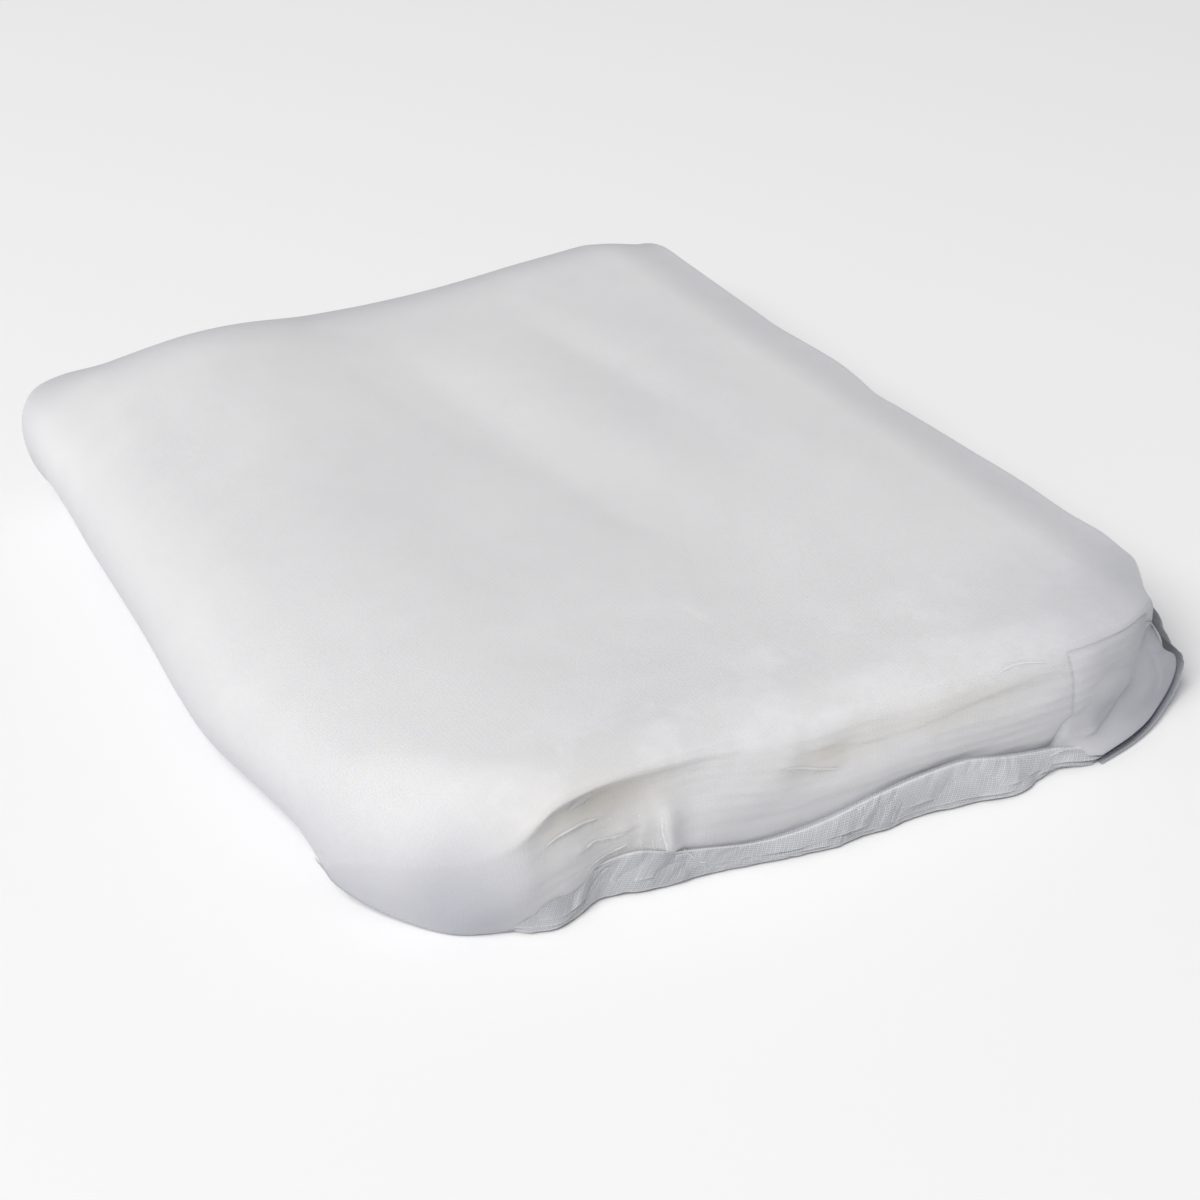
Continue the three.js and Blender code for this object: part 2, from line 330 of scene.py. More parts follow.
# Creases of the gathered end, as lines of x, z
gatherCreases = [
    {"line": [(-116, 37), (-108, 42), (-98, 46), (-83, 48.8), (-66, 49.5), (-50, 51.5)],
     "width": 0.8, "step": 1.7, "decay": 7, "fade": 18},
    {"line": [(-107, 31), (-98, 34), (-87, 34.5), (-73, 31.5)],
     "width": 0.7, "step": 1.1, "decay": 6, "fade": 8},
    {"line": [(-94, 23), (-84, 26.5), (-75, 24.5), (-66, 25.5)],
     "width": 0.6, "step": 0.9, "decay": 4, "fade": 6},
    {"line": [(-94, 14.5), (-84, 17), (-75, 18.5), (-66, 20.5)],
     "width": 0.6, "step": 0.9, "decay": 4, "fade": 6},
    {"line": [(-57, 33), (-59, 25), (-57.5, 16), (-55.5, 6)],
     "width": 0.8, "step": 1.5, "decay": 9, "fade": 8},
    {"line": [(-66, 34), (-65, 26), (-67, 18), (-64, 10)],
     "width": 0.7, "step": 0.5, "decay": 5, "fade": 8},
    {"line": [(-133, 24), (-127, 32), (-118, 34)], "width": 0.9, "groove": 0.5, "step": -0.8},
    {"line": [(-126, 24), (-120, 22.5)], "width": 0.7, "groove": -0.3},
    {"line": [(-20, 38), (-10, 35.5), (3, 30.5), (12, 28.8)],
     "width": 0.7, "step": 1.2, "decay": 7, "fade": 8},
    {"line": [(-8, 40), (4, 40), (18, 37), (30, 37.5)], "width": 0.7, "step": 0.8, "decay": 6, "fade": 10},
    {"line": [(26, 37), (45, 39.5), (66, 41), (88, 43), (112, 42)],
     "width": 0.9, "step": 0.9, "decay": 9, "fade": 22},
    {"line": [(66, 47), (79, 49.3), (90, 48), (102, 44)],
     "width": 0.8, "step": 0.6, "groove": 0.2, "fade": 12},
    {"line": [(88, 44), (104, 40), (122, 42)], "width": 0.9, "step": 0.6, "groove": 0.2, "fade": 12},
    {"line": [(-20, 15), (2, 18), (24, 21)], "width": 1.3, "step": 0.5, "groove": 0.1},
    {"line": [(30, 29), (50, 32), (70, 31)], "width": 1.2, "step": 0.45, "groove": 0.1},
    {"line": [(-40, 33), (-24, 28), (-8, 24)], "width": 1.2, "step": 0.5},
    {"line": [(40, 17), (66, 19), (92, 23)], "width": 1.2, "step": 0.5},
]
# Creases and ledges of the top, as lines of x, y
topCreases = [
    {"line": [(-94, -76), (-58, -79), (-23, -84), (-2, -105), (30, -110)], "width": 5, "step": 0.8},
    {"line": [(-67, -126), (-35, -129), (-5, -134), (17, -151)], "width": 3.5, "step": 0.7},
    {"line": [(-19, -91), (-5, -97), (0, -114)], "width": 2.6, "groove": 0.2, "step": 0.3},
    {"line": [(-2, -136), (11, -140), (17, -151)], "width": 2.4, "groove": 0.2, "step": 0.3},
    {"line": [(8, 162), (4, 95), (7, 55), (11, -32), (29, -93)], "width": 9, "groove": 0.35, "fade": 60},
    {"line": [(-20, 150), (-16, 90), (-4, 40), (2, -5)], "width": 8, "groove": 0.25, "fade": 45},
    {"line": [(68, 150), (76, 70), (86, 0)], "width": 9, "groove": 0.4, "fade": 50},
]


def alongTurn(evenX, evenZ, share, farInset):
    # y on the outermost turn, share 0 at the open end and 1 at the plain end
    level = evenZ / winding["height"]
    topShare = smoothStep(0.4, 0.7, level)
    topInset, floorInset = (alongTable(drawnBack, column, evenX) for column in (1, 2))
    inset = floorInset * (1 - topShare) + topInset * topShare
    yFrom = endReach(openEnd, evenX, level, True) + inset
    yTo = endReach(plainEnd, evenX, level, True) - farInset
    y = yFrom + (yTo - yFrom) * share
    fine = softNoise(evenX / 23, level * 2, 11) * 1.2 + softNoise(evenX / 9, level * 3, 12) * 0.4
    return y + fine * (share**24), yFrom


def layOuter(evenX, evenZ, share, onTop, farInset=0.0):
    y, yFrom = alongTurn(evenX, evenZ, share, farInset)
    nearEdge = smoothStep(freeEnd["reach"] - bareCorner["run"], freeEnd["reach"], evenX)
    nearEnd = 1 - smoothStep(0, bareCorner["depth"], y - yFrom)
    x = evenX - np.where(onTop, bareCorner["reach"] * nearEdge * nearEnd, 0)
    x = np.where(x < 0, x * alongTable(sideFold, 1, y) / (winding["width"] / 2), x)
    edgeWave = alongTable(freeEdgeWave, 1, y) * smoothStep(110, freeEnd["reach"], x)
    x = x + np.where(onTop, edgeWave, 0)
    taper = smoothStep(100, 166, x) * (1 - smoothStep(-190, -100, y))
    x = x - outerTurn["rightTaper"] * taper * (1 - onTop)
    z = evenZ * topHeight(x, y) / winding["height"]
    z = z + liftFold(x, y, z)
    dropFrom = freeEnd["reach"] - freeEnd["dropRun"]
    z = z - np.where(onTop, freeEnd["drop"] * smoothStep(dropFrom, freeEnd["reach"], x), 0)
    return np.stack([x, y, z], axis=-1)


def outerSection():
    # the even section of the outermost turn, from the free end on top, round, to under the top
    height, reach = winding["height"], freeEnd["reach"] - outerTurn["edgeRoll"]
    top = np.linspace(reach, leftCentre, int((reach - leftCentre) / outerTurn["topStep"]))
    angle = np.linspace(0, math.pi / 2, outerTurn["foldRows"])
    upper = [(x, height) for x in top[:-1]]
    upper += [(leftCentre - halfHeight * math.sin(a), halfHeight * (1 + math.cos(a))) for a in angle]
    lower = [(leftCentre - halfHeight * math.sin(a), halfHeight * (1 - math.cos(a)))
             for a in angle[::-1][:-1]]
    lower += [(x, 0.0) for x in np.linspace(leftCentre, rightCentre, outerTurn["floorRows"])]
    rightRadius = (height - winding["pitch"]) / 2
    for a in np.linspace(0, math.pi, outerTurn["foldRows"])[1:]:
        lower.append((rightCentre + rightRadius * math.sin(a), rightRadius * (1 - math.cos(a))))
    for x in np.linspace(rightCentre, 40, outerTurn["underRows"])[1:]:
        lower.append((x, height - winding["pitch"]))
    return np.array(upper), np.array(lower)


def floorPartner(evenX):
    # height of the turn's underside below a point of its top, in the even section
    rightRadius = (winding["height"] - winding["pitch"]) / 2
    left = np.clip((leftCentre - evenX) / halfHeight, 0, 1)
    right = np.clip((evenX - rightCentre) / rightRadius, 0, 1)
    return halfHeight * (1 - np.sqrt(1 - left**2)) + rightRadius * (1 - np.sqrt(1 - right**2))


def acrossNodes(keys, values, at):
    # smooth values between nodes that differ from point to point
    keys = np.array(keys, float)
    last = len(keys) - 1
    i = np.clip(np.searchsorted(keys, at) - 1, 0, last - 1)
    pick = lambda index: np.take_along_axis(values, index[None, :], axis=0)[0]
    before = np.maximum(np.arange(last + 1) - 1, 0)
    after = np.minimum(np.arange(last + 1) + 1, last)
    slopes = (values[after] - values[before]) / (keys[after] - keys[before])[:, None]
    span = keys[i + 1] - keys[i]
    t = (at - keys[i]) / span
    slope = lambda index: np.take_along_axis(slopes, index[None, :], axis=0)[0]
    ends = pick(i) * (2 * t**3 - 3 * t**2 + 1) + pick(i + 1) * (3 * t**2 - 2 * t**3)
    return ends + span * (slope(i) * (t**3 - 2 * t**2 + t) + slope(i + 1) * (t**3 - t**2))


def gatherPoints(evenX, evenTopZ, share):
    # points of the gathered end: share 1 at the top lip, 0 at the floor edge
    evenX, evenTopZ, share = (np.asarray(a, float).reshape(-1) for a in (evenX, evenTopZ, share))
    onTop = (evenTopZ >= winding["height"] - 0.01).astype(float)
    lip = layOuter(evenX, evenTopZ, np.zeros_like(evenX), onTop)
    foot = layOuter(evenX, floorPartner(evenX), np.zeros_like(evenX), 0 * onTop)
    line = foot + (lip - foot) * share[:, None]
    size = np.clip((lip[:, 2] - foot[:, 2]) / 30, 0, 1)
    columns = [np.zeros_like(evenX)]
    columns += [alongTable(gatherPlan, column, line[:, 0]) * size for column in (6, 5, 4, 3, 2, 1)]
    columns += [np.zeros_like(evenX)]
    out = acrossNodes(gatherShares, np.array(columns), share)
    x, z = line[:, 0], line[:, 2]
    inside = np.sin(np.pi * np.clip(share, 0, 1)) ** 0.5 * size
    relief = softForms(x, z, gatherRelief)
    for crease in gatherCreases:
        relief += strokeOffset(x, z, crease)
    plies = np.sin(2 * np.pi * (z / 4.6 + softNoise(x / 38, z / 30, 21) * 0.9))
    relief += 0.16 * plies * (0.5 + 0.5 * softNoise(x / 26, z / 9, 22)) * smoothStep(-122, -104, x)
    relief += softNoise(x / 17, z / 9, 23) * 0.45 + softNoise(x / 6, z / 4, 24) * 0.12
    line[:, 1] -= out + relief * inside
    return line


def topPartner(evenX):
    left = np.clip((leftCentre - evenX) / halfHeight, 0, 1)
    return np.where(left > 0, halfHeight * (1 + np.sqrt(1 - left**2)), winding["height"])


# found step by step: the side fold's usual share of its even reach, the rounds and the reach in x
gatherSearch = {"foldShare": 0.943, "rounds": 8, "from": -165.5, "to": 163}


def onGather(x, z):
    # the point of the gathered end at this x and height
    x, z = np.asarray(x, float), np.asarray(z, float)
    evenX = np.where(x < 0, x / gatherSearch["foldShare"], x)
    share = np.full(x.shape, 0.5)
    for _ in range(gatherSearch["rounds"]):
        evenX = np.clip(evenX, gatherSearch["from"], gatherSearch["to"])
        high = gatherPoints(evenX, topPartner(evenX), share * 0 + 1)[:, 2]
        low = gatherPoints(evenX, topPartner(evenX), share * 0)[:, 2]
        share = np.clip((z - low) / (high - low), 0, 1)
        found = gatherPoints(evenX, topPartner(evenX), share)
        evenX = evenX + (x - found[:, 0])
    return found


def topOffset(points, evenZ):
    x, y = points[..., 0], points[..., 1]
    raised = smoothStep(0.5, 0.95, evenZ / winding["height"])
    offset = outerTurn["broadWave"] * softNoise(x / 55 + 3, y / 70 + 5, 31)
    offset += outerTurn["fineWave"] * softNoise(x / 19, y / 24, 32)
    for crease in topCreases:
        offset = offset + strokeOffset(x, y, crease)
    return offset * raised


# x, z, half width, half height and strength of the places of painted creamy shade in the recesses of the
# open end
creamyShadePlaces = [
    (-80, 40, 26, 9, 1.0), (-72, 20, 14, 10, 0.5), (3, 36, 16, 6, 0.8), (52, 41, 40, 6, 0.5),
]


def layerAndShadeMarks(points):
    # greyer where few plies lie together at the right front corner; painted shade there and on the lower
    # left side, the lower front-left end, the back and right edges, which turn from the key light; painted
    # creamy shade in the recesses under the top lip; wispy along the front lip
    x, y, z = points[..., 0], points[..., 1], points[..., 2]
    openSide = smoothStep(-132, -152, y)
    # painted shade: lower left side, lower front-left end, back edge, right edge, right front corner (where
    # few plies also lie together), lower open end
    shares = [
        0.8 * smoothStep(-112, -150, x) * (1 - smoothStep(6, 44, z)),
        0.95 * openSide * smoothStep(-98, -128, x) * (1 - smoothStep(8, 56, z)),
        0.6 * smoothStep(160, 206, y),
        0.4 * smoothStep(136, 166, x),
        0.6 * smoothStep(60, 160, x) * smoothStep(-120, -178, y),
        0.25 * openSide * smoothStep(-108, -92, x) * (1 - smoothStep(14, 50, z)),
    ]
    denseAndLit = np.ones(x.shape)
    for share in shares:
        denseAndLit = denseAndLit * (1 - share)
    # painted creamy shade in the recesses under the top lip
    creamyShade = np.zeros(x.shape)
    for px, pz, width, high, strength in creamyShadePlaces:
        away = ((x - px) / width) ** 2 + ((z - pz) / high) ** 2
        creamyShade = creamyShade + strength * np.exp(-away) * openSide
    frontLip = smoothStep(-112, -150, y) * smoothStep(30, 50, z) * smoothStep(-150, -110, x)
    wispy = 0.1 + 0.75 * frontLip
    return {"loose": 1 - denseAndLit, "creamyShade": np.clip(creamyShade, 0, 1), "wispy": wispy}


def softenBend(points, bendRow):
    # evens out the bend where the flat top turns into the side fold
    rows = np.arange(len(points))
    span = outerTurn["bendRows"]
    steps = np.arange(-2 * span, 2 * span + 1)
    kernel = np.exp(-0.5 * (steps / span) ** 2)
    kernel /= kernel.sum()
    index = np.clip(rows[:, None] + steps[None, :], 0, len(points) - 1)
    even = np.einsum("k,rkcd->rcd", kernel, points[index])
    crestRow = len(points) - 1
    weight = np.exp(-(((rows - bendRow) / (1.6 * span)) ** 2)) * smoothStep(crestRow, crestRow - span, rows)
    columns = points.shape[1]
    fromFoot = smoothStep(0.2, 0.8, np.linspace(0, columns / outerTurn["endColumns"], columns))
    return points + (even - points) * (weight[:, None] * fromFoot[None, :])[..., None]


def makeOuterTurn(material):
    upper, lower = outerSection()
    lip, tuck = outerTurn["lipRadius"], outerTurn["tuck"]
    share = np.linspace(0, 1, outerTurn["axisColumns"])
    share = 0.6 * share + 0.4 * (1 - np.cos(np.pi * share)) / 2
    # the top, with the left fold down to its crest, and the gathered end in front of it
    evenX, evenZ = upper[:, 0][:, None], upper[:, 1][:, None]
    onTop = (evenZ >= winding["height"] - 0.01).astype(float)
    spread = np.broadcast_to(share, (len(upper), len(share)))
    main = layOuter(evenX + 0 * spread, evenZ + 0 * spread, spread, onTop + 0 * spread, lip)
    t = np.linspace(0, 1, outerTurn["endColumns"] + 1)[:-1]
    drop = np.clip(1 - (1 - t) ** 1.25, 0, 1)
    gathered = gatherPoints(
        np.repeat(upper[:, 0], len(drop)), np.repeat(upper[:, 1], len(drop)), np.tile(drop, len(upper))
    ).reshape(len(upper), len(drop), 3)
    whole = np.concatenate([gathered, main], axis=1)
    whole = softenBend(whole, len(upper) - outerTurn["foldRows"])
    normals = gridNormals(whole)
    offset = topOffset(whole, np.broadcast_to(evenZ, whole.shape[:2]))
    nearLip = np.ones(whole.shape[:2])
    nearLip[:, :len(drop)] = np.linspace(0, 1, len(drop))[None, :] ** 3
    whole = whole + normals * (offset * nearLip)[..., None]
    rolled = lipReturn(whole[:, -1], normals[:, -1], 1, lip, tuck)
    whole = np.concatenate([whole, rolled], axis=1)
    grids = [{"points": whole, "uv": clothUv(whole, 0, len(drop)), **layerAndShadeMarks(whole)}]
    # the lower half of the fold, the floor, the right fold and the part under the top
    full = np.broadcast_to(share, (len(lower), len(share)))
    zeros = 0 * full
    under = layOuter(lower[:, 0][:, None] + zeros, lower[:, 1][:, None] + zeros, full, zeros, lip)
    normals = gridNormals(under)
    farEdge = lipReturn(under[:, -1], normals[:, -1], 1, lip, tuck)
    nearX = under[:, 0, 0]
    flatEdge = 0.1 + lip * 0.7 * smoothStep(-124, -90, nearX) * (1 - smoothStep(90, 120, nearX))
    nearEdge = lipReturn(under[:, 0], normals[:, 0], -1, flatEdge, tuck)[:, ::-1]
    under = np.concatenate([nearEdge, under, farEdge], axis=1)
    grids.append({"points": under, "uv": clothUv(under, 430, nearEdge.shape[1]), **layerAndShadeMarks(under)})
    # the free end's cut edge, turned in under the top
    edge = whole[0, len(drop):len(drop) + len(share)]
    across = np.array([1.0, 0, 0])
    tucked = []
    fullRoll = smoothStep(-1, 5, np.arange(len(share)))[:, None]
    for angle in np.linspace(0, math.pi, 7)[1:]:
        moved = edge + across * outerTurn["edgeRoll"] * math.sin(angle) * fullRoll
        moved[:, 2] -= outerTurn["edgeRoll"] * (1 - math.cos(angle))
        tucked.append(moved)
    for back in (4, 10, 20, 34):
        moved = edge - across * back
        moved[:, 2] -= 3.2 - back * 0.03
        tucked.append(moved)
    tucked = np.stack([edge] + tucked, axis=0)[::-1]
    edgeMask = np.zeros(tucked.shape[:2])
    edgeMask[4:10] = 0.6
    grids.append({"points": tucked, "uv": clothUv(tucked, -40), "cutEdgeAndHighlight": edgeMask, **layerAndShadeMarks(tucked)})
    return clothObject("outerTurn", grids, material)


# The turns inside, a soft pack of several plies with folded edges at both ends

innerTurns = {
    "flatSteps": 62, "foldSteps": 12, "edgeSteps": 6, "lengthSteps": 12,
    "thickness": 4.3, "setBack": 7.0, "frayed": 1.6, "startX": 44.0,
    "puff": 0.14, "mostPuff": 1.1, "wave": 1.2, "waveLength": 88,
}


def innerLine():
    height, pitch = winding["height"], winding["pitch"]
    half = (pitch - winding["gap"]) / 2
    points = []
    for turn in range(1, winding["turns"]):
        topZ, floorZ = height - half - turn * pitch, half + turn * pitch
        startX = innerTurns["startX"] if turn == 1 else rightCentre
        for x in np.linspace(startX, leftCentre, innerTurns["flatSteps"])[:-1]:
            points.append((x, topZ, turn))
        radius = (topZ - floorZ) / 2
        for a in np.linspace(0, math.pi, innerTurns["foldSteps"])[:-1]:
            x = leftCentre - radius * math.sin(a)
            points.append((x, halfHeight + radius * math.cos(a), turn))
        for x in np.linspace(leftCentre, rightCentre, innerTurns["flatSteps"])[:-1]:
            points.append((x, floorZ, turn + 0.5))
        radius = (topZ - pitch - floorZ) / 2
        if turn < winding["turns"] - 1:
            for a in np.linspace(0, math.pi, innerTurns["foldSteps"])[:-1]:
                z = (floorZ + topZ - pitch) / 2 - radius * math.cos(a)
                points.append((rightCentre + radius * math.sin(a), z, turn + 0.5))
    return np.array(points)


def makeInnerTurns(material):
    line = innerLine()
    x, z, turn = line[:, 0][:, None], line[:, 1][:, None], line[:, 2][:, None]
    tangent = np.gradient(line[:, :2], axis=0)
    tangent /= np.linalg.norm(tangent, axis=1, keepdims=True)
    normalX, normalZ = tangent[:, 1][:, None], -tangent[:, 0][:, None]
    radius = innerTurns["thickness"] / 2
    angle = np.linspace(0, math.pi / 2, innerTurns["edgeSteps"])
    inset = radius * (1 - np.cos(angle))
    swell = np.sin(angle)
    middle = np.linspace(0, 1, innerTurns["lengthSteps"] + 2)[1:-1]
    share = np.concatenate([0 * inset, middle**0.8, 0 * inset + 1])
    fromPlain = np.concatenate([0 * inset, 0 * middle, inset[::-1]])
    fromOpen = np.concatenate([inset, radius * (1 - middle), 0 * inset])
    fullness = np.concatenate([swell, 1 + 0 * middle, swell[::-1]])
    level = z / winding["height"]
    yFrom = alongTable(openEnd, 2, x) + innerTurns["setBack"]
    yTo = endReach(plainEnd, x, level, False)
    uneven = softNoise(x / 31, turn * 3.7, 41) + 0.5 * softNoise(x / 9, turn * 5.1, 42)
    yTo = yTo + innerTurns["frayed"] * uneven
    y = yFrom + (yTo - yFrom) * share + fromOpen - fromPlain
    puff = 1 + innerTurns["puff"] * softNoise(x / 40, turn * 2.9, 43) * smoothStep(150, 190, y)
    fullness = fullness * np.minimum(puff, innerTurns["mostPuff"])
    faces = []
    for side in (1, -1):
        faceX = x + side * normalX * radius * fullness
        faceZ = z + side * normalZ * radius * fullness
        foldShare = alongTable(sideFold, 1, y) / (winding["width"] / 2)
        laidX = np.where(faceX < 0, faceX * foldShare, faceX)
        laidZ = faceZ * topHeight(laidX, y) / winding["height"]
        laidZ = laidZ + liftFold(laidX, y, laidZ)
        between = np.sin(np.pi * faceZ / winding["height"])
        wave = np.sin(2 * np.pi * (laidX - 0.4 * y) / innerTurns["waveLength"] + 1.0)
        laidZ = laidZ + innerTurns["wave"] * wave * between**2 * smoothStep(150, 195, y)
        faces.append(np.stack([laidX, y + 0 * laidX, laidZ], axis=-1))
    outer, inner = faces
    uv = clothUv(outer, 900)
    return clothObject("innerTurns", [
        {"points": outer, "uv": uv}, {"points": inner, "uv": uv, "flip": True},
    ], material)


# Loose lips of the floor layers, sheer towards their cut edges

# x, how far out and how high the upper edge lies, how far out the outer edge lies on the floor
lipPlan = [
    (-134, 147.0, 6.0, 148.5), (-124, 153.0, 8.0, 154.5), (-114, 160.5, 11.0, 163.0),
    (-108, 163.0, 11.0, 166.0), (-101, 163.5, 9.5, 168.0), (-92, 162.5, 9.5, 166.0),
    (-82, 161.5, 12.0, 162.8), (-75, 162.0, 13.0, 164.6), (-66, 164.5, 13.5, 168.5),
    (-54, 167.0, 9.5, 170.0), (-46, 168.5, 8.0, 171.6), (-25, 173.0, 4.5, 176.6),
    (-11, 177.0, 5.5, 181.6), (4, 179.5, 7.5, 184.2), (21, 181.5, 11.0, 185.6),
    (38, 184.0, 14.0, 187.0), (50, 185.5, 15.0, 188.8), (60, 187.0, 15.0, 191.0),
    (75, 189.0, 11.5, 195.8), (88, 189.8, 8.5, 194.0), (99, 190.5, 6.5, 193.8),
    (113, 193.5, 5.0, 199.0), (124, 193.0, 5.0, 197.6), (137, 191.0, 5.0, 194.6),
    (154, 185.0, 6.0, 187.6),
]
lipPlies = [
    {"name": "lipPlyUpper", "from": -121, "to": 124, "start": -0.6, "end": 0.8, "rise": 0.9,
     "ripple": 0.3, "slant": 0.7, "seed": 51, "edgeUp": 0.9, "edgeOut": 0.3},
    {"name": "lipPlyMiddle", "from": -130, "to": 118, "start": 0.05, "end": 0.92, "rise": 0.0,
     "ripple": 0.4, "slant": 0.4, "seed": 52, "edgeUp": 0.5, "edgeOut": 0.6},
    {"name": "lipPlyFloor", "from": -124, "to": 113, "start": 0.15, "end": 1.0, "rise": -0.8,
     "ripple": 0.45, "slant": 0.55, "seed": 53, "edgeUp": 0.3, "edgeOut": 0.7},
]
# x, how hard the lips are crumpled there
lipCrumple = [
    (-130, 0.3), (-104, 0.5), (-84, 1.5), (-62, 1.6), (-44, 1.0), (-24, 0.4), (0, 0.5), (22, 1.0),
    (48, 1.2), (70, 0.6), (100, 0.7), (124, 0.5),
]
lipSteps = {"along": 0.7, "across": 26}


def makeLipPly(ply, material):
    x = np.arange(ply["from"], ply["to"], lipSteps["along"])[:, None]
    w = np.linspace(ply["start"], ply["end"], lipSteps["across"])[None, :]
    upperOut, upperHigh, outerOut = (alongTable(lipPlan, column, x) for column in (1, 2, 3))
    quarter = np.clip(w, 0, 1) * math.pi / 2
    out = upperOut + (outerOut - upperOut) * (0.45 * np.clip(w, 0, 1) + 0.55 * np.sin(quarter))
    out = out + (outerOut - upperOut) * np.maximum(w - 1, 0) + np.minimum(w, 0) * 9
    z = upperHigh * (0.5 * (1 - np.clip(w, 0, 1)) + 0.5 * np.cos(quarter)) + 1.5 + ply["rise"]
    z = z + np.minimum(w, 0) * 4
    seed = ply["seed"]
    ruffle = softNoise(x / 9, w * 1.3, seed) + 0.5 * softNoise(x / 3.5, w * 2, seed + 10)
    wave = np.sin(2 * np.pi * (x / 27 + 0.5 * softNoise(x / 40, 0 * w, seed + 20)))
    out = out + ply["ripple"] * (ruffle + 0.8 * wave) * smoothStep(0.15, 1, w)
    z = z + ply["ripple"] * 0.7 * np.abs(ruffle) * smoothStep(0.1, 0.8, w)
    # small pleats run slantwise over the lip
    slant = x + 9 * w + 5 * softNoise(x / 16, w * 1.2, seed + 30)
    pleat = 0.6 * softNoise(slant / 2.3, w * 1.2, seed + 40) + 0.8 * softNoise(slant / 6, w * 1.5, seed + 50)
    crumple = alongTable(lipCrumple, 1, x) * smoothStep(-0.1, 0.2, w) * smoothStep(1.15, 0.8, w)
    z = z + 0.55 * crumple * pleat
    out = out + 0.4 * crumple * pleat
    ends = smoothStep(0, 14, x - ply["from"]) * smoothStep(0, 24, ply["to"] - x)
    out = out - 4 * (1 - ends) * smoothStep(20, -20, x) - 2 * (1 - ends) * smoothStep(-20, 20, x)
    z = np.maximum(z * (0.3 + 0.7 * ends), 0.25)
    points = np.stack([x + 0 * w, -out, z + 0 * x], axis=-1)
    span = np.linspace(0, 1, w.shape[1])[None, :]
    fromUpperEdge = (w - max(ply["start"], 0) - 0.02) / 0.06
    edge = ply["edgeUp"] * np.exp(-(fromUpperEdge**2)) + ply["edgeOut"] * smoothStep(0.95, 1, span)
    uv = clothUv(points, ply["seed"])
    uv[..., 0] += ply["slant"] * (uv[..., 1] - uv[:, :1, 1])
    grid = {"points": points, "uv": uv, "cutEdgeAndHighlight": edge + 0 * x}
    return clothObject(ply["name"], [grid], material)


# The end of the right fold, thin plies closing in a fan towards the open end

cornerFan = {
    "inset": 3.0, "rootX": 99.0, "bulge": 2.4, "ruffle": 0.5, "seed": 95,
    "rimSteps": 120, "inSteps": 70, "middleX": 130, "middleZ": 24,
}
# soft forms of the fan: x, z, half length, half height, turn, rise
fanRelief = [
    (128, 14, 14, 6, 30, -2.2), (150, 34, 5, 14, 8, 1.2), (143, 22, 8, 12, 20, -0.9),
    (156, 24, 5, 6, -20, -1.4), (134, 40, 14, 6, -12, 0.8), (148, 12, 12, 5, 42, 1.1),
]
fanCreases = [
    {"line": [(148, 49), (148.5, 44), (150, 39), (149, 33)], "width": 0.8, "groove": -0.7, "fade": 4},
    {"line": [(147, 33), (153, 28), (160, 26)], "width": 0.8, "step": 1.0, "decay": 6, "fade": 5},
    {"line": [(110, 9), (118, 9.5), (127, 12), (137, 21), (141, 28)],
     "width": 0.8, "step": 1.3, "decay": 7, "fade": 8},
    {"line": [(150, 30), (155, 22), (157, 14), (154, 7)], "width": 0.9, "step": 0.9, "decay": 5, "fade": 6},
    {"line": [(116, 45), (130, 46), (142, 48)], "width": 0.9, "step": 0.7, "decay": 6, "fade": 8},
]


def makeCornerFan(material):
    rimSteps, middleX, middleZ = (cornerFan[key] for key in ("rimSteps", "middleX", "middleZ"))
    share = np.linspace(0, 1, rimSteps)[:, None]
    inwards = np.linspace(0, 1, cornerFan["inSteps"])[None, :]
    rimX, rimY, rimZ = (alongTable(cornerEdge, column, share) for column in (1, 2, 3))
    away = np.hypot(rimX - middleX, rimZ - middleZ)
    rimX = rimX - cornerFan["inset"] * (rimX - middleX) / np.maximum(away, 1)
    rimZ = rimZ - cornerFan["inset"] * (rimZ - middleZ) / np.maximum(away, 1)
    root = onGather(np.full(rimSteps, cornerFan["rootX"]), np.linspace(48, 5, rimSteps))
    rim = np.stack([rimX, rimY + 1.2, np.maximum(rimZ, 0.6)], axis=-1)
    blend = inwards[..., None] ** 0.85
    points = rim * (1 - blend) + root[:, None, :] * blend
    x, z = points[..., 0], points[..., 2]
    swell = np.sin(np.pi * np.clip(inwards, 0, 1)) ** 0.7
    out = (cornerFan["bulge"] + softForms(x, z, fanRelief)) * swell
    for crease in fanCreases:
        out = out + strokeOffset(x, z, crease)
    out = out + cornerFan["ruffle"] * softNoise(x / 9, z / 7, cornerFan["seed"]) * swell
    y = points[..., 1] - out
    packed = onGather(np.minimum(x, 150).reshape(-1), z.reshape(-1))[:, 1].reshape(x.shape)
    over = smoothStep(1.0, 0.8, inwards) * 0.8 - 0.5
    near = 1 - smoothStep(144, 154, x)
    y = np.where(x < 154, np.minimum(y, packed - over) * near + y * (1 - near), y)
    y = y * (1 - smoothStep(0.86, 1, inwards)) + (packed + 0.5) * smoothStep(0.86, 1, inwards)
    points = np.stack([x, y, z], axis=-1)
    # painted shade on the fan: a dark patch, a dark band along its rim and darker towards the right end
    shadePatch = np.exp(-(((x - 127) / 16) ** 2 + ((z - 15) / 8) ** 2))
    rimShade = np.exp(-inwards / 0.09) + 0 * x
    marks = layerAndShadeMarks(points)
    denseAndLit = (1 - marks["loose"]) * (1 - 0.7 * shadePatch) * (1 - 0.85 * rimShade)
    marks["loose"] = 1 - denseAndLit * (1 - 0.6 * smoothStep(108, 150, x))
    grid = {"points": points, "uv": clothUv(points, 1800), **marks}
    return clothObject("cornerFan", [grid], material)


# Plies of the open end that stand a little off those behind them

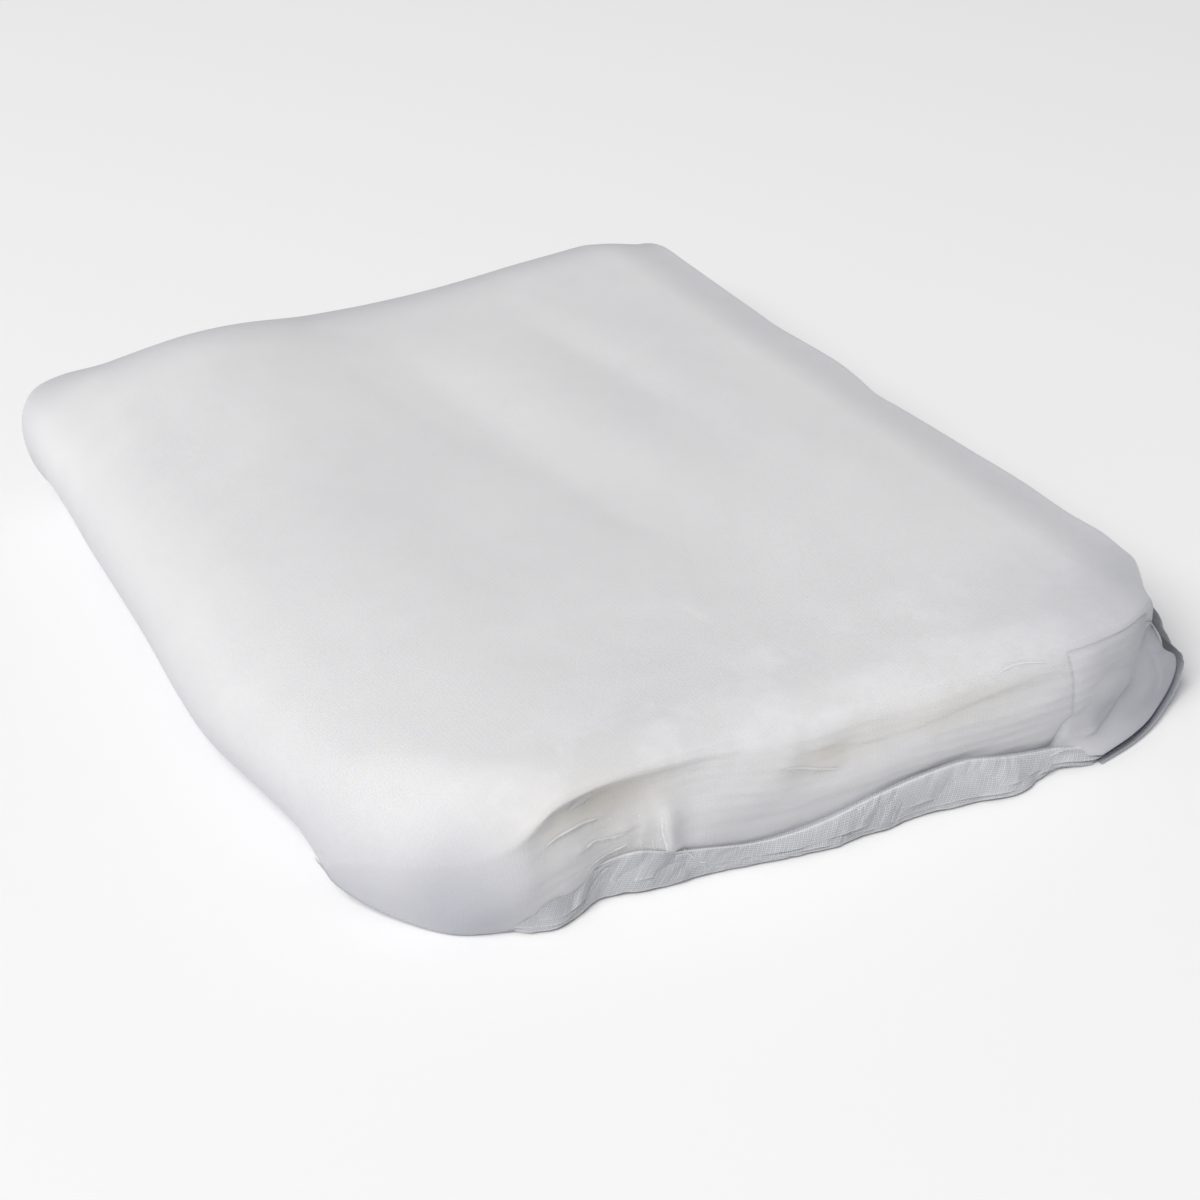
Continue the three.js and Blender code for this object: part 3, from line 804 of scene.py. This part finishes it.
# the free edge as x, z, the way back into the pack and how far the edge stands off
frontPlies = [
    {"edge": [(-107, 31), (-98, 34), (-87, 34.5), (-73, 31.5)],
     "back": (0.4, 1.5), "lift": 0.35, "frill": 0.15, "seed": 71},
    {"edge": [(-96, 39), (-86, 42), (-78, 41.5)],
     "back": (0.4, 2.6), "lift": 0.7, "frill": 0.3, "seed": 73},
    {"edge": [(-92, 23.6), (-84, 26.2), (-75, 24.2), (-66, 25.2)],
     "back": (0.2, 1.3), "lift": 0.35, "frill": 0.5, "seed": 75},
    {"edge": [(-92, 14.8), (-84, 16.8), (-75, 18.3), (-66, 20.2)],
     "back": (0.2, 1.3), "lift": 0.35, "frill": 0.5, "seed": 77},
    {"edge": [(-57.5, 31), (-59.5, 25), (-58, 16), (-56, 8)],
     "back": (1.5, 0.2), "lift": 0.4, "frill": 0.2, "seed": 79},
    {"edge": [(-18, 37.5), (-10, 35.2), (3, 30.2), (12, 28.5)],
     "back": (0.4, 1.5), "lift": 0.35, "frill": 0.15, "seed": 81},
    {"edge": [(66, 46.8), (79, 49), (90, 47.8), (102, 43.8)],
     "back": (0.2, 1.2), "lift": 0.25, "frill": 0.12, "seed": 85},
]


def frontPlyGrid(ply):
    rows = [(i, x, z) for i, (x, z) in enumerate(ply["edge"])]
    at = np.linspace(0, len(rows) - 1, 18 * len(rows))[:, None]
    away = np.linspace(0, 1, 12)[None, :]
    ends = smoothStep(0, 0.9, at) * smoothStep(0, 0.9, len(rows) - 1 - at)
    ruffle = softNoise(at * 3, away * 1.5, ply["seed"]) + 0.5 * softNoise(at * 9, away * 2, ply["seed"] + 1)
    x = alongTable(rows, 1, at) + ply["back"][0] * (1 - away)
    z = alongTable(rows, 2, at) + ply["back"][1] * (1 - away) + ply["frill"] * ruffle * away**3
    points = onGather(x.reshape(-1), z.reshape(-1)).reshape(*x.shape, 3)
    stand = (ply["lift"] + 0.4) * ends * away**1.2 - 0.4
    points[..., 1] -= stand
    points[..., 2] -= 0.3 * np.maximum(stand, 0)
    outward = -gridNormals(points)[..., 1].mean()
    return {
        "points": points, "uv": clothUv(points, ply["seed"] * 10), "flip": bool(outward < 0),
        "cutEdgeAndHighlight": 0.75 * away**14 * ends,
    }


# Loose sheer plies round the right side fold, standing off the pack

# share round the fold, x, y and z of the ply's open edge
cornerEdge = [
    (0.0, 128, -170, 50.5), (0.14, 140, -176, 51.5), (0.22, 147, -178.5, 50), (0.32, 155, -179, 41.5),
    (0.42, 159.5, -181, 32), (0.49, 162.5, -182, 25.5), (0.55, 169, -182, 19.6), (0.61, 171, -182, 12),
    (0.67, 166, -184.5, 6.0), (0.75, 158, -188, 3.0), (0.85, 145, -193.5, 1.6), (0.93, 131, -197, 1.0),
    (1.0, 115, -199, 0.8),
]
cornerPlies = [
    {"name": "cornerPlyOuter", "inset": 0.0, "backX": 28.0, "ruffle": 0.7, "seed": 61,
     "run": 40, "short": 0},
    {"name": "cornerPlyInner", "inset": 3.6, "backX": 26.6, "ruffle": 0.6, "seed": 62,
     "run": 34, "short": 2.0},
]


def makeCornerPly(ply, material):
    share = np.linspace(0, 1, 90)[:, None]
    along = (np.linspace(0, 1, 110) ** 1.5)[None, :]
    edgeX, edgeY, edgeZ = (alongTable(cornerEdge, column, share) for column in (1, 2, 3))
    middleX, middleZ = 132.0, 24.0
    away = np.hypot(edgeX - middleX, edgeZ - middleZ)
    edgeX = edgeX - ply["inset"] * (edgeX - middleX) / np.maximum(away, 1)
    edgeZ = edgeZ - ply["inset"] * (edgeZ - middleZ) / np.maximum(away, 1) * smoothStep(0, 6, edgeZ)
    edgeY = edgeY + ply["short"]
    angle = np.clip((share - 0.12) / 0.76, 0, 1) * math.pi
    backX = rightCentre + ply["backX"] * np.sin(angle) - 18 * np.maximum(0.12 - share, 0) / 0.12
    backX = backX - 18 * np.maximum(share - 0.88, 0) / 0.12
    backZ = 26.0 + 25.2 * np.cos(angle)
    y = edgeY + (193 - edgeY) * along
    nearEdge = 1 - smoothStep(0, ply["run"], y - edgeY)
    x = backX + (edgeX - backX) * nearEdge
    z = backZ + (edgeZ - backZ) * nearEdge
    side = np.sin(np.pi * share)
    loose = softNoise(y / 42, share * 3.5, ply["seed"]) + 0.5 * softNoise(y / 15, share * 6, ply["seed"] + 1)
    x = x + ply["ruffle"] * loose * side
    fine = softNoise(share * 30, y / 14, ply["seed"] + 2)
    fine = fine + 0.5 * softNoise(share * 70, y / 9, ply["seed"] + 3)
    x = x + 0.35 * fine * nearEdge * side
    z = z * (1 - 0.22 * smoothStep(120, 190, y))
    z = np.maximum(z + 0.25 * fine * side, 0.3)
    points = np.stack([x, y, z], axis=-1)
    edge = 0.55 * np.exp(-((y - edgeY) / 0.8)) + 0 * share
    grid = {"points": points, "uv": clothUv(points), "cutEdgeAndHighlight": edge, "flip": True}
    return clothObject(ply["name"], [grid], material)


# Frayed yarn ends along the cut edges, and a few loose threads

yarnEnds = {"Spacing": 0.0009, "Length": 0.0024, "Thickness": 0.026, "Seed": 5}
# loose threads over the open end, as x, out and height
looseThreads = [
    [(6, 175.5, 9), (0, 174, 5.5), (-5, 174.5, 1.5), (-10, 177.5, 7.5)],
    [(-51, 167.5, 12), (-49, 169, 9), (-46.5, 170.5, 6.5), (-44, 172, 6.2)],
    [(-66, 162, 30), (-64.5, 163.5, 24), (-66, 163.5, 18), (-64, 164, 12)],
    [(-61, 163, 25), (-62, 164.5, 18), (-60.5, 165, 12)],
    [(94, 192.5, 8.5), (101, 193, 9), (108, 194.5, 8.2)],
]


def makeYarnTree():
    # short bent yarn ends set along the edges of the mesh that is passed in
    tree = bpy.data.node_groups.new("yarnEndsAlongEdges", "GeometryNodeTree")
    face = tree.interface
    face.new_socket("Geometry", in_out="INPUT", socket_type="NodeSocketGeometry")
    kinds = {"Spacing": "Float", "Length": "Float", "Thickness": "Float", "Seed": "Int", "Yarn": "Material"}
    for name, kind in kinds.items():
        face.new_socket(name, in_out="INPUT", socket_type="NodeSocket" + kind)
    face.new_socket("Geometry", in_out="OUTPUT", socket_type="NodeSocketGeometry")
    add, join = tree.nodes.new, tree.links.new
    start, end = add("NodeGroupInput"), add("NodeGroupOutput")
    edgeCurve, evenPoints = add("GeometryNodeMeshToCurve"), add("GeometryNodeResampleCurve")
    evenPoints.mode = "LENGTH"
    join(start.outputs["Geometry"], edgeCurve.inputs[0])
    join(edgeCurve.outputs[0], evenPoints.inputs["Curve"])
    join(start.outputs["Spacing"], evenPoints.inputs["Length"])
    bent = add("GeometryNodeCurveQuadraticBezier")
    bent.inputs["Resolution"].default_value = 4
    bent.inputs["Start"].default_value = (0, 0.1, 0.05)
    bent.inputs["Middle"].default_value = (0, -0.3, -0.35)
    bent.inputs["End"].default_value = (0.25, -0.4, -0.9)
    ring, tube = add("GeometryNodeCurvePrimitiveCircle"), add("GeometryNodeCurveToMesh")
    ring.inputs["Resolution"].default_value = 3
    join(start.outputs["Thickness"], ring.inputs["Radius"])
    join(bent.outputs[0], tube.inputs["Curve"])
    join(ring.outputs[0], tube.inputs["Profile Curve"])
    tube.inputs["Fill Caps"].default_value = True
    turn, grow = add("FunctionNodeRandomValue"), add("FunctionNodeRandomValue")
    turn.data_type = "FLOAT_VECTOR"
    turn.inputs["Min"].default_value = (-0.7, -1.3, -1.2)
    turn.inputs["Max"].default_value = (0.9, 1.3, 1.2)
    join(start.outputs["Seed"], turn.inputs["Seed"])
    grow.data_type = "FLOAT"
    grow.inputs[2].default_value, grow.inputs[3].default_value = 0.25, 1.0
    join(start.outputs["Seed"], grow.inputs["Seed"])
    size = add("ShaderNodeMath")
    size.operation = "MULTIPLY"
    join(grow.outputs[1], size.inputs[0])
    join(start.outputs["Length"], size.inputs[1])
    place = add("GeometryNodeInstanceOnPoints")
    join(evenPoints.outputs[0], place.inputs["Points"])
    join(tube.outputs[0], place.inputs["Instance"])
    join(turn.outputs[0], place.inputs["Rotation"])
    join(size.outputs[0], place.inputs["Scale"])
    real, finish = add("GeometryNodeRealizeInstances"), add("GeometryNodeSetMaterial")
    join(place.outputs[0], real.inputs[0])
    join(real.outputs[0], finish.inputs["Geometry"])
    join(start.outputs["Yarn"], finish.inputs["Material"])
    join(finish.outputs[0], end.inputs[0])
    return tree


def makeYarnEnds(lines, material):
    vertices, edges = [], []
    for line in lines:
        first = len(vertices)
        vertices += toMetres(line).tolist()
        edges += [(i, i + 1) for i in range(first, len(vertices) - 1)]
    mesh = bpy.data.meshes.new("cutEdgeLines")
    mesh.from_pydata(vertices, edges, [])
    guide = addPiece("yarnEnds", mesh, smooth=False)
    tree = makeYarnTree()
    modifier = guide.modifiers.new("yarn", "NODES")
    modifier.node_group = tree
    for item in tree.interface.items_tree:
        if item.in_out == "INPUT" and item.name in yarnEnds:
            modifier[item.identifier] = yarnEnds[item.name]
        if item.in_out == "INPUT" and item.name == "Yarn":
            modifier[item.identifier] = material
    shaped = guide.evaluated_get(bpy.context.evaluated_depsgraph_get())
    made = bpy.data.meshes.new_from_object(shaped)
    guide.modifiers.clear()
    guide.data = made
    made.polygons.foreach_set("use_smooth", [True] * len(made.polygons))
    return guide


threadShape = {"radius": 0.13, "sides": 4, "stepsEach": 14, "sway": 0.4, "seed": 91}


def makeLooseThreads(material):
    radius, count = threadShape["radius"], threadShape["sides"]
    vertices, faces = [], []
    for thread in looseThreads:
        rows = [(i, x, -out, z) for i, (x, out, z) in enumerate(thread)]
        at = np.linspace(0, len(rows) - 1, threadShape["stepsEach"] * len(rows))
        line = np.stack([alongTable(rows, column, at) for column in (1, 2, 3)], axis=1)
        line[:, 0] += threadShape["sway"] * softNoise(at * 1.7, at * 0 + 2, threadShape["seed"])
        ahead = np.gradient(line, axis=0)
        ahead /= np.linalg.norm(ahead, axis=1, keepdims=True)
        side = np.cross(ahead, [0.3, 1.0, 0.2])
        side /= np.linalg.norm(side, axis=1, keepdims=True)
        rise = np.cross(side, ahead)
        first = len(vertices)
        for i in range(len(line)):
            for k in range(count):
                angle = 2 * math.pi * k / count
                point = line[i] + radius * (side[i] * math.cos(angle) + rise[i] * math.sin(angle))
                vertices.append(toMetres(point).tolist())
        for i in range(len(line) - 1):
            for k in range(count):
                a, b = first + i * count + k, first + i * count + (k + 1) % count
                faces.append((a, b, b + count, a + count))
        faces.append(tuple(first + k for k in range(count))[::-1])
        faces.append(tuple(first + (len(line) - 1) * count + k for k in range(count)))
    mesh = bpy.data.meshes.new("looseThreads")
    mesh.from_pydata(vertices, [], faces)
    mesh.materials.append(material)
    return addPiece("looseThreads", mesh)


# Finishes

def mathNode(tree, operation, *values):
    node = tree.nodes.new("ShaderNodeMath")
    node.operation = operation
    for socket, value in zip(node.inputs, values):
        if isinstance(value, bpy.types.NodeSocket):
            tree.links.new(value, socket)
        else:
            socket.default_value = value
    return node.outputs[0]


def rangeNode(tree, value, low, high, toLow=0.0, toHigh=1.0):
    node = tree.nodes.new("ShaderNodeMapRange")
    node.interpolation_type = "SMOOTHSTEP"
    tree.links.new(value, node.inputs["Value"])
    for name, number in (("From Min", low), ("From Max", high), ("To Min", toLow), ("To Max", toHigh)):
        node.inputs[name].default_value = number
    return node.outputs["Result"]


def noiseNode(tree, vector, scale, detail, roughness=0.5):
    node = tree.nodes.new("ShaderNodeTexNoise")
    tree.links.new(vector, node.inputs["Vector"])
    node.inputs["Scale"].default_value = scale
    node.inputs["Detail"].default_value = detail
    node.inputs["Roughness"].default_value = roughness
    return node


def colourMix(tree, factor, first, second):
    node = tree.nodes.new("ShaderNodeMix")
    node.data_type = "RGBA"
    tree.links.new(factor, node.inputs[0])
    for socket, value in ((node.inputs[6], first), (node.inputs[7], second)):
        if isinstance(value, bpy.types.NodeSocket):
            tree.links.new(value, socket)
        else:
            socket.default_value = (*value, 1)
    return node.outputs[2]


def makeWeaveGroup():
    # threads of the mesh from lengths on the cloth: ribs across it, fine threads both ways
    tree = bpy.data.node_groups.new("netWeave", "ShaderNodeTree")
    face = tree.interface
    face.new_socket("Cloth", in_out="INPUT", socket_type="NodeSocketVector")
    for name, value in (("Rib Pitch", 0.0017), ("Thread Pitch", 0.00085), ("Wander", 0.0004)):
        socket = face.new_socket(name, in_out="INPUT", socket_type="NodeSocketFloat")
        socket.default_value = value
    for name in ("Height", "Cover", "Ribs"):
        face.new_socket(name, in_out="OUTPUT", socket_type="NodeSocketFloat")
    start, end = tree.nodes.new("NodeGroupInput"), tree.nodes.new("NodeGroupOutput")
    slack = noiseNode(tree, start.outputs["Cloth"], 70, 2)
    split, loose = tree.nodes.new("ShaderNodeSeparateXYZ"), tree.nodes.new("ShaderNodeSeparateColor")
    tree.links.new(start.outputs["Cloth"], split.inputs[0])
    tree.links.new(slack.outputs["Color"], loose.inputs[0])
    waves = {}
    runs = (("ribs", 0, "Rib Pitch", 4), ("warp", 0, "Thread Pitch", 2), ("weft", 1, "Thread Pitch", 2))
    for key, axis, pitch, sharp in runs:
        wander = mathNode(tree, "MULTIPLY", loose.outputs[axis], start.outputs["Wander"])
        place = mathNode(tree, "ADD", split.outputs[axis], wander)
        turns = mathNode(tree, "DIVIDE", place, start.outputs[pitch])
        wave = mathNode(tree, "COSINE", mathNode(tree, "MULTIPLY", turns, 2 * math.pi))
        wave = mathNode(tree, "MULTIPLY_ADD", wave, 0.5, 0.5)
        waves[key] = mathNode(tree, "POWER", wave, sharp)
    fine = mathNode(tree, "MAXIMUM", mathNode(tree, "MULTIPLY", waves["warp"], 0.7), waves["weft"])
    height = mathNode(tree, "MAXIMUM", fine, waves["ribs"])
    tree.links.new(height, end.inputs["Height"])
    tree.links.new(rangeNode(tree, height, 0.2, 0.6), end.inputs["Cover"])
    tree.links.new(waves["ribs"], end.inputs["Ribs"])
    return tree


def makeNetMaterial(name, look, weave):
    material = bpy.data.materials.new(name)
    material.use_nodes = True
    tree = material.node_tree
    shader = tree.nodes["Principled BSDF"]
    cloth = tree.nodes.new("ShaderNodeUVMap")
    cloth.uv_map = "cloth"
    place = tree.nodes.new("ShaderNodeTexCoord").outputs["Object"]
    threads = tree.nodes.new("ShaderNodeGroup")
    threads.node_tree = weave
    threads.inputs["Rib Pitch"].default_value = look["ribPitch"]
    threads.inputs["Thread Pitch"].default_value = look["threadPitch"]
    tree.links.new(cloth.outputs[0], threads.inputs["Cloth"])
    marks = {}
    for key in ("cutEdgeAndHighlight", "loose", "creamyShade", "wispy"):
        marks[key] = tree.nodes.new("ShaderNodeAttribute")
        marks[key].attribute_name = key
    # layers lying closer or looser under the surface make it a little whiter or greyer
    layers = noiseNode(tree, place, look["layerScale"], 3, 0.55)
    colour = colourMix(tree, rangeNode(tree, layers.outputs["Fac"], 0.3, 0.7), look["shade"], look["colour"])
    # whiter wisps where the plies touch
    wisps = noiseNode(tree, place, look["wispScale"], 5, 0.62)
    wispShare = rangeNode(tree, wisps.outputs["Fac"], 0.42, 0.68, 0.0, look["wispShare"])
    wispShare = mathNode(tree, "MULTIPLY", wispShare, marks["wispy"].outputs["Fac"])
    colour = colourMix(tree, wispShare, colour, look["wispColour"])
    # painted creamy shade in the recesses under the top lip
    colour = colourMix(tree, marks["creamyShade"].outputs["Fac"], colour, look["creamyShadeColour"])
    # grey-lavender where few plies lie together, with painted shade on the sides turned from the key light
    colour = colourMix(tree, marks["loose"].outputs["Fac"], colour, look["sheerAndShadeColour"])
    # the threads show in patches, where the plies under them lie off
    patches = noiseNode(tree, place, look["patchScale"], 2)
    hidden = rangeNode(tree, patches.outputs["Fac"], 0.35, 0.65, 0.75, 0.0)
    threadTone = mathNode(tree, "MAXIMUM", threads.outputs["Height"], hidden)
    between = rangeNode(tree, threadTone, 0.0, 0.8, look["betweenThreads"], 1.0)
    grey = tree.nodes.new("ShaderNodeVectorMath")
    grey.operation = "SCALE"
    tree.links.new(colour, grey.inputs[0])
    tree.links.new(between, grey.inputs["Scale"])
    # cut edges are lighter: denser threads, with a painted highlight where the edges catch the light
    colour = colourMix(tree, marks["cutEdgeAndHighlight"].outputs["Fac"], grey.outputs[0], look["edgeAndHighlightColour"])
    tree.links.new(colour, shader.inputs["Base Color"])
    roughest, smoothest = look["roughness"] + 0.05, look["roughness"] - 0.05
    rough = rangeNode(tree, layers.outputs["Fac"], 0.2, 0.8, roughest, smoothest)
    tree.links.new(rough, shader.inputs["Roughness"])
    shader.inputs["Sheen Weight"].default_value = look["sheen"]
    shader.inputs["Sheen Roughness"].default_value = 0.45
    shader.inputs["Specular IOR Level"].default_value = 0.25
    if look["softness"]:
        shader.inputs["Subsurface Weight"].default_value = look["softness"]
        shader.inputs["Subsurface Radius"].default_value = (1.0, 0.92, 0.8)
        shader.inputs["Subsurface Scale"].default_value = look["softDepth"]
    if look["openness"]:
        patch = noiseNode(tree, place, 90, 3, 0.6)
        openest, closest = 1 - look["openness"], 1 - look["openness"] * 0.7
        gap = rangeNode(tree, patch.outputs["Fac"], 0.3, 0.7, openest, closest)
        cover = tree.nodes.new("ShaderNodeMapRange")
        tree.links.new(threads.outputs["Cover"], cover.inputs["Value"])
        tree.links.new(gap, cover.inputs["To Min"])
        cover.inputs["To Max"].default_value = look["threadAlpha"]
        alpha = mathNode(tree, "MAXIMUM", cover.outputs[0], marks["cutEdgeAndHighlight"].outputs["Fac"])
        tree.links.new(alpha, shader.inputs["Alpha"])
    creases = noiseNode(tree, place, look["creaseScale"], 4, 0.6)
    soft = tree.nodes.new("ShaderNodeBump")
    soft.inputs["Strength"].default_value = look["creaseStrength"]
    soft.inputs["Distance"].default_value = 0.001
    tree.links.new(creases.outputs["Fac"], soft.inputs["Height"])
    fine = tree.nodes.new("ShaderNodeBump")
    fine.inputs["Strength"].default_value = look["weaveStrength"]
    fine.inputs["Distance"].default_value = 0.0002
    tree.links.new(threads.outputs["Height"], fine.inputs["Height"])
    tree.links.new(soft.outputs[0], fine.inputs["Normal"])
    tree.links.new(fine.outputs[0], shader.inputs["Normal"])
    return material


packedLook = {
    # the edge colour is lighter for the denser cut edges and for a painted highlight
    "colour": (0.745, 0.742, 0.748), "shade": (0.71, 0.708, 0.72), "edgeAndHighlightColour": (0.8, 0.8, 0.8),
    # grey-lavender of few plies with painted shade; painted creamy shade of the recesses
    "sheerAndShadeColour": (0.46, 0.465, 0.51), "creamyShadeColour": (0.69, 0.665, 0.62),
    "wispScale": 42, "wispShare": 0.7, "wispColour": (0.81, 0.81, 0.83),
    "ribPitch": 0.0017, "threadPitch": 0.00085, "layerScale": 14, "betweenThreads": 0.95, "patchScale": 30,
    "roughness": 0.88, "sheen": 0.15, "softness": 0.5, "softDepth": 0.006, "openness": 0.0,
    "threadAlpha": 1.0, "creaseScale": 60, "creaseStrength": 0.17, "weaveStrength": 0.25,
}


# painted shade: greyer colours than the packed netting, for the sheer lips lying in shade under the open end
sheerShadedLook = dict(packedLook)
sheerShadedLook.update({
    "colour": (0.66, 0.668, 0.69), "shade": (0.54, 0.55, 0.585), "edgeAndHighlightColour": (0.8, 0.8, 0.82),
    "wispShare": 0.25, "betweenThreads": 0.8, "patchScale": 55, "sheen": 0.1,
    "softness": 0.0, "openness": 0.3, "threadAlpha": 0.95,
    "creaseScale": 150, "creaseStrength": 0.4, "weaveStrength": 0.6,
})
# painted shade: a dark grey-lavender for the plies round the shadowed right corner
shadedCornerLook = dict(sheerShadedLook)
shadedCornerLook.update({
    "colour": (0.24, 0.25, 0.3), "shade": (0.17, 0.18, 0.23), "wispShare": 0.15,
    "openness": 0.35, "threadAlpha": 0.9,
})
frontLook = dict(packedLook)
frontLook.update({
    "colour": (0.76, 0.755, 0.75), "shade": (0.72, 0.715, 0.71), "softness": 0.0, "betweenThreads": 0.97,
})


def makeYarnMaterial(name, colour, shade):
    material = bpy.data.materials.new(name)
    material.use_nodes = True
    tree = material.node_tree
    shader = tree.nodes["Principled BSDF"]
    place = tree.nodes.new("ShaderNodeTexCoord").outputs["Object"]
    tone = noiseNode(tree, place, 400, 2)
    shadeShare = rangeNode(tree, tone.outputs["Fac"], 0.3, 0.7)
    tree.links.new(colourMix(tree, shadeShare, shade, colour), shader.inputs["Base Color"])
    shader.inputs["Roughness"].default_value = 0.7
    shader.inputs["Sheen Weight"].default_value = 0.2
    twist = tree.nodes.new("ShaderNodeBump")
    twist.inputs["Strength"].default_value = 0.3
    twist.inputs["Distance"].default_value = 0.0001
    fibres = noiseNode(tree, place, 3000, 2)
    tree.links.new(fibres.outputs["Fac"], twist.inputs["Height"])
    tree.links.new(twist.outputs[0], shader.inputs["Normal"])
    return material


# The scene

weave = makeWeaveGroup()
packedNet = makeNetMaterial("packedNet", packedLook, weave)
outer = makeOuterTurn(packedNet)
print("outer turn:", len(outer.data.polygons), "faces")
inner = makeInnerTurns(packedNet)
print("inner turns:", len(inner.data.polygons), "faces")

sheerShadedNet = makeNetMaterial("sheerShadedNet", sheerShadedLook, weave)
shadedCornerNet = makeNetMaterial("shadedCornerNet", shadedCornerLook, weave)
frontNet = makeNetMaterial("frontNet", frontLook, weave)
looseYarn = makeYarnMaterial("looseYarn", (0.84, 0.84, 0.85), (0.74, 0.74, 0.76))
lips = [makeLipPly(ply, sheerShadedNet) for ply in lipPlies]
corners = [makeCornerPly(ply, shadedCornerNet) for ply in cornerPlies]
fan = makeCornerFan(packedNet)
frontGrids = [frontPlyGrid(ply) for ply in frontPlies]
fronts = clothObject("openEndPlies", frontGrids, frontNet)
print("loose plies:", len(lips) + len(corners) + len(frontGrids))
frayed = makeYarnEnds([grid["points"][:, -1] for grid in frontGrids], looseYarn)
threads = makeLooseThreads(looseYarn)
print("yarn ends:", len(frayed.data.polygons), "faces")

for piece in (outer, inner, *lips, *corners, fan, fronts, frayed, threads):
    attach(piece, "root")
    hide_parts("netting")


def ownLength(piece, width):
    # the flat length that a ply of this flat width has by its own area
    area = np.zeros(len(piece.data.polygons))
    piece.data.polygons.foreach_get("area", area)
    return float(area.sum()) / width


for piece in lips:
    ownLength(piece, 0.02)
for piece in corners:
    ownLength(piece, 0.12)
ownLength(fan, 0.05)
ownLength(fronts, 0.01)


# Floor, light and camera

stageSettings = {
    "floorSize": 6.0, "floorLevel": -0.0004, "floorColour": (0.96, 0.96, 0.965),
    "worldColour": (0.94, 0.955, 1.0),
    "worldStrength": 0.32, "camera": (-0.40304, -0.67065, 0.522),
    "cameraTurn": (56.3, 0.0, -32.5), "lens": 68.76,
}


def makeFloor():
    half, level = stageSettings["floorSize"] / 2, stageSettings["floorLevel"]
    mesh = bpy.data.meshes.new("studioFloor")
    corners = [(-half, -half, level), (half, -half, level), (half, half, level), (-half, half, level)]
    mesh.from_pydata(corners, [], [(0, 1, 2, 3)])
    material = bpy.data.materials.new("paleFloor")
    material.use_nodes = True
    shader = material.node_tree.nodes["Principled BSDF"]
    shader.inputs["Base Color"].default_value = (*stageSettings["floorColour"], 1)
    shader.inputs["Roughness"].default_value = 0.95
    shader.inputs["Specular IOR Level"].default_value = 0.1
    mesh.materials.append(material)
    return addPiece("studioFloor", mesh, smooth=False)


def addSoftbox(name, place, target, size, power, colour):
    light = bpy.data.lights.new(name, "AREA")
    light.shape = "RECTANGLE"
    light.size, light.size_y = size
    light.energy = power
    light.color = colour
    lamp = bpy.data.objects.new(name, light)
    lamp.location = place
    lamp.rotation_euler = (Vector(target) - Vector(place)).to_track_quat("-Z", "Y").to_euler()
    bpy.context.scene.collection.objects.link(lamp)


makeFloor()
addSoftbox("keySoftbox", (-3.7, -1.5, 4.9), (0, 0, 0.02), (3.6, 3.6), 350, (1.0, 0.99, 0.97))

world = bpy.data.worlds.new("studio")
bpy.context.scene.world = world
world.use_nodes = True
sky = world.node_tree.nodes["Background"]
sky.inputs["Color"].default_value = (*stageSettings["worldColour"], 1)
sky.inputs["Strength"].default_value = stageSettings["worldStrength"]

cameraData = bpy.data.cameras.new("photoCamera")
cameraData.lens = stageSettings["lens"]
cameraData.sensor_width = 36
cameraData.clip_start = 0.01
camera = bpy.data.objects.new("photoCamera", cameraData)
camera.location = stageSettings["camera"]
camera.rotation_euler = [math.radians(a) for a in stageSettings["cameraTurn"]]
bpy.context.scene.collection.objects.link(camera)
bpy.context.scene.camera = camera

bpy.context.scene.view_settings.view_transform = "Standard"
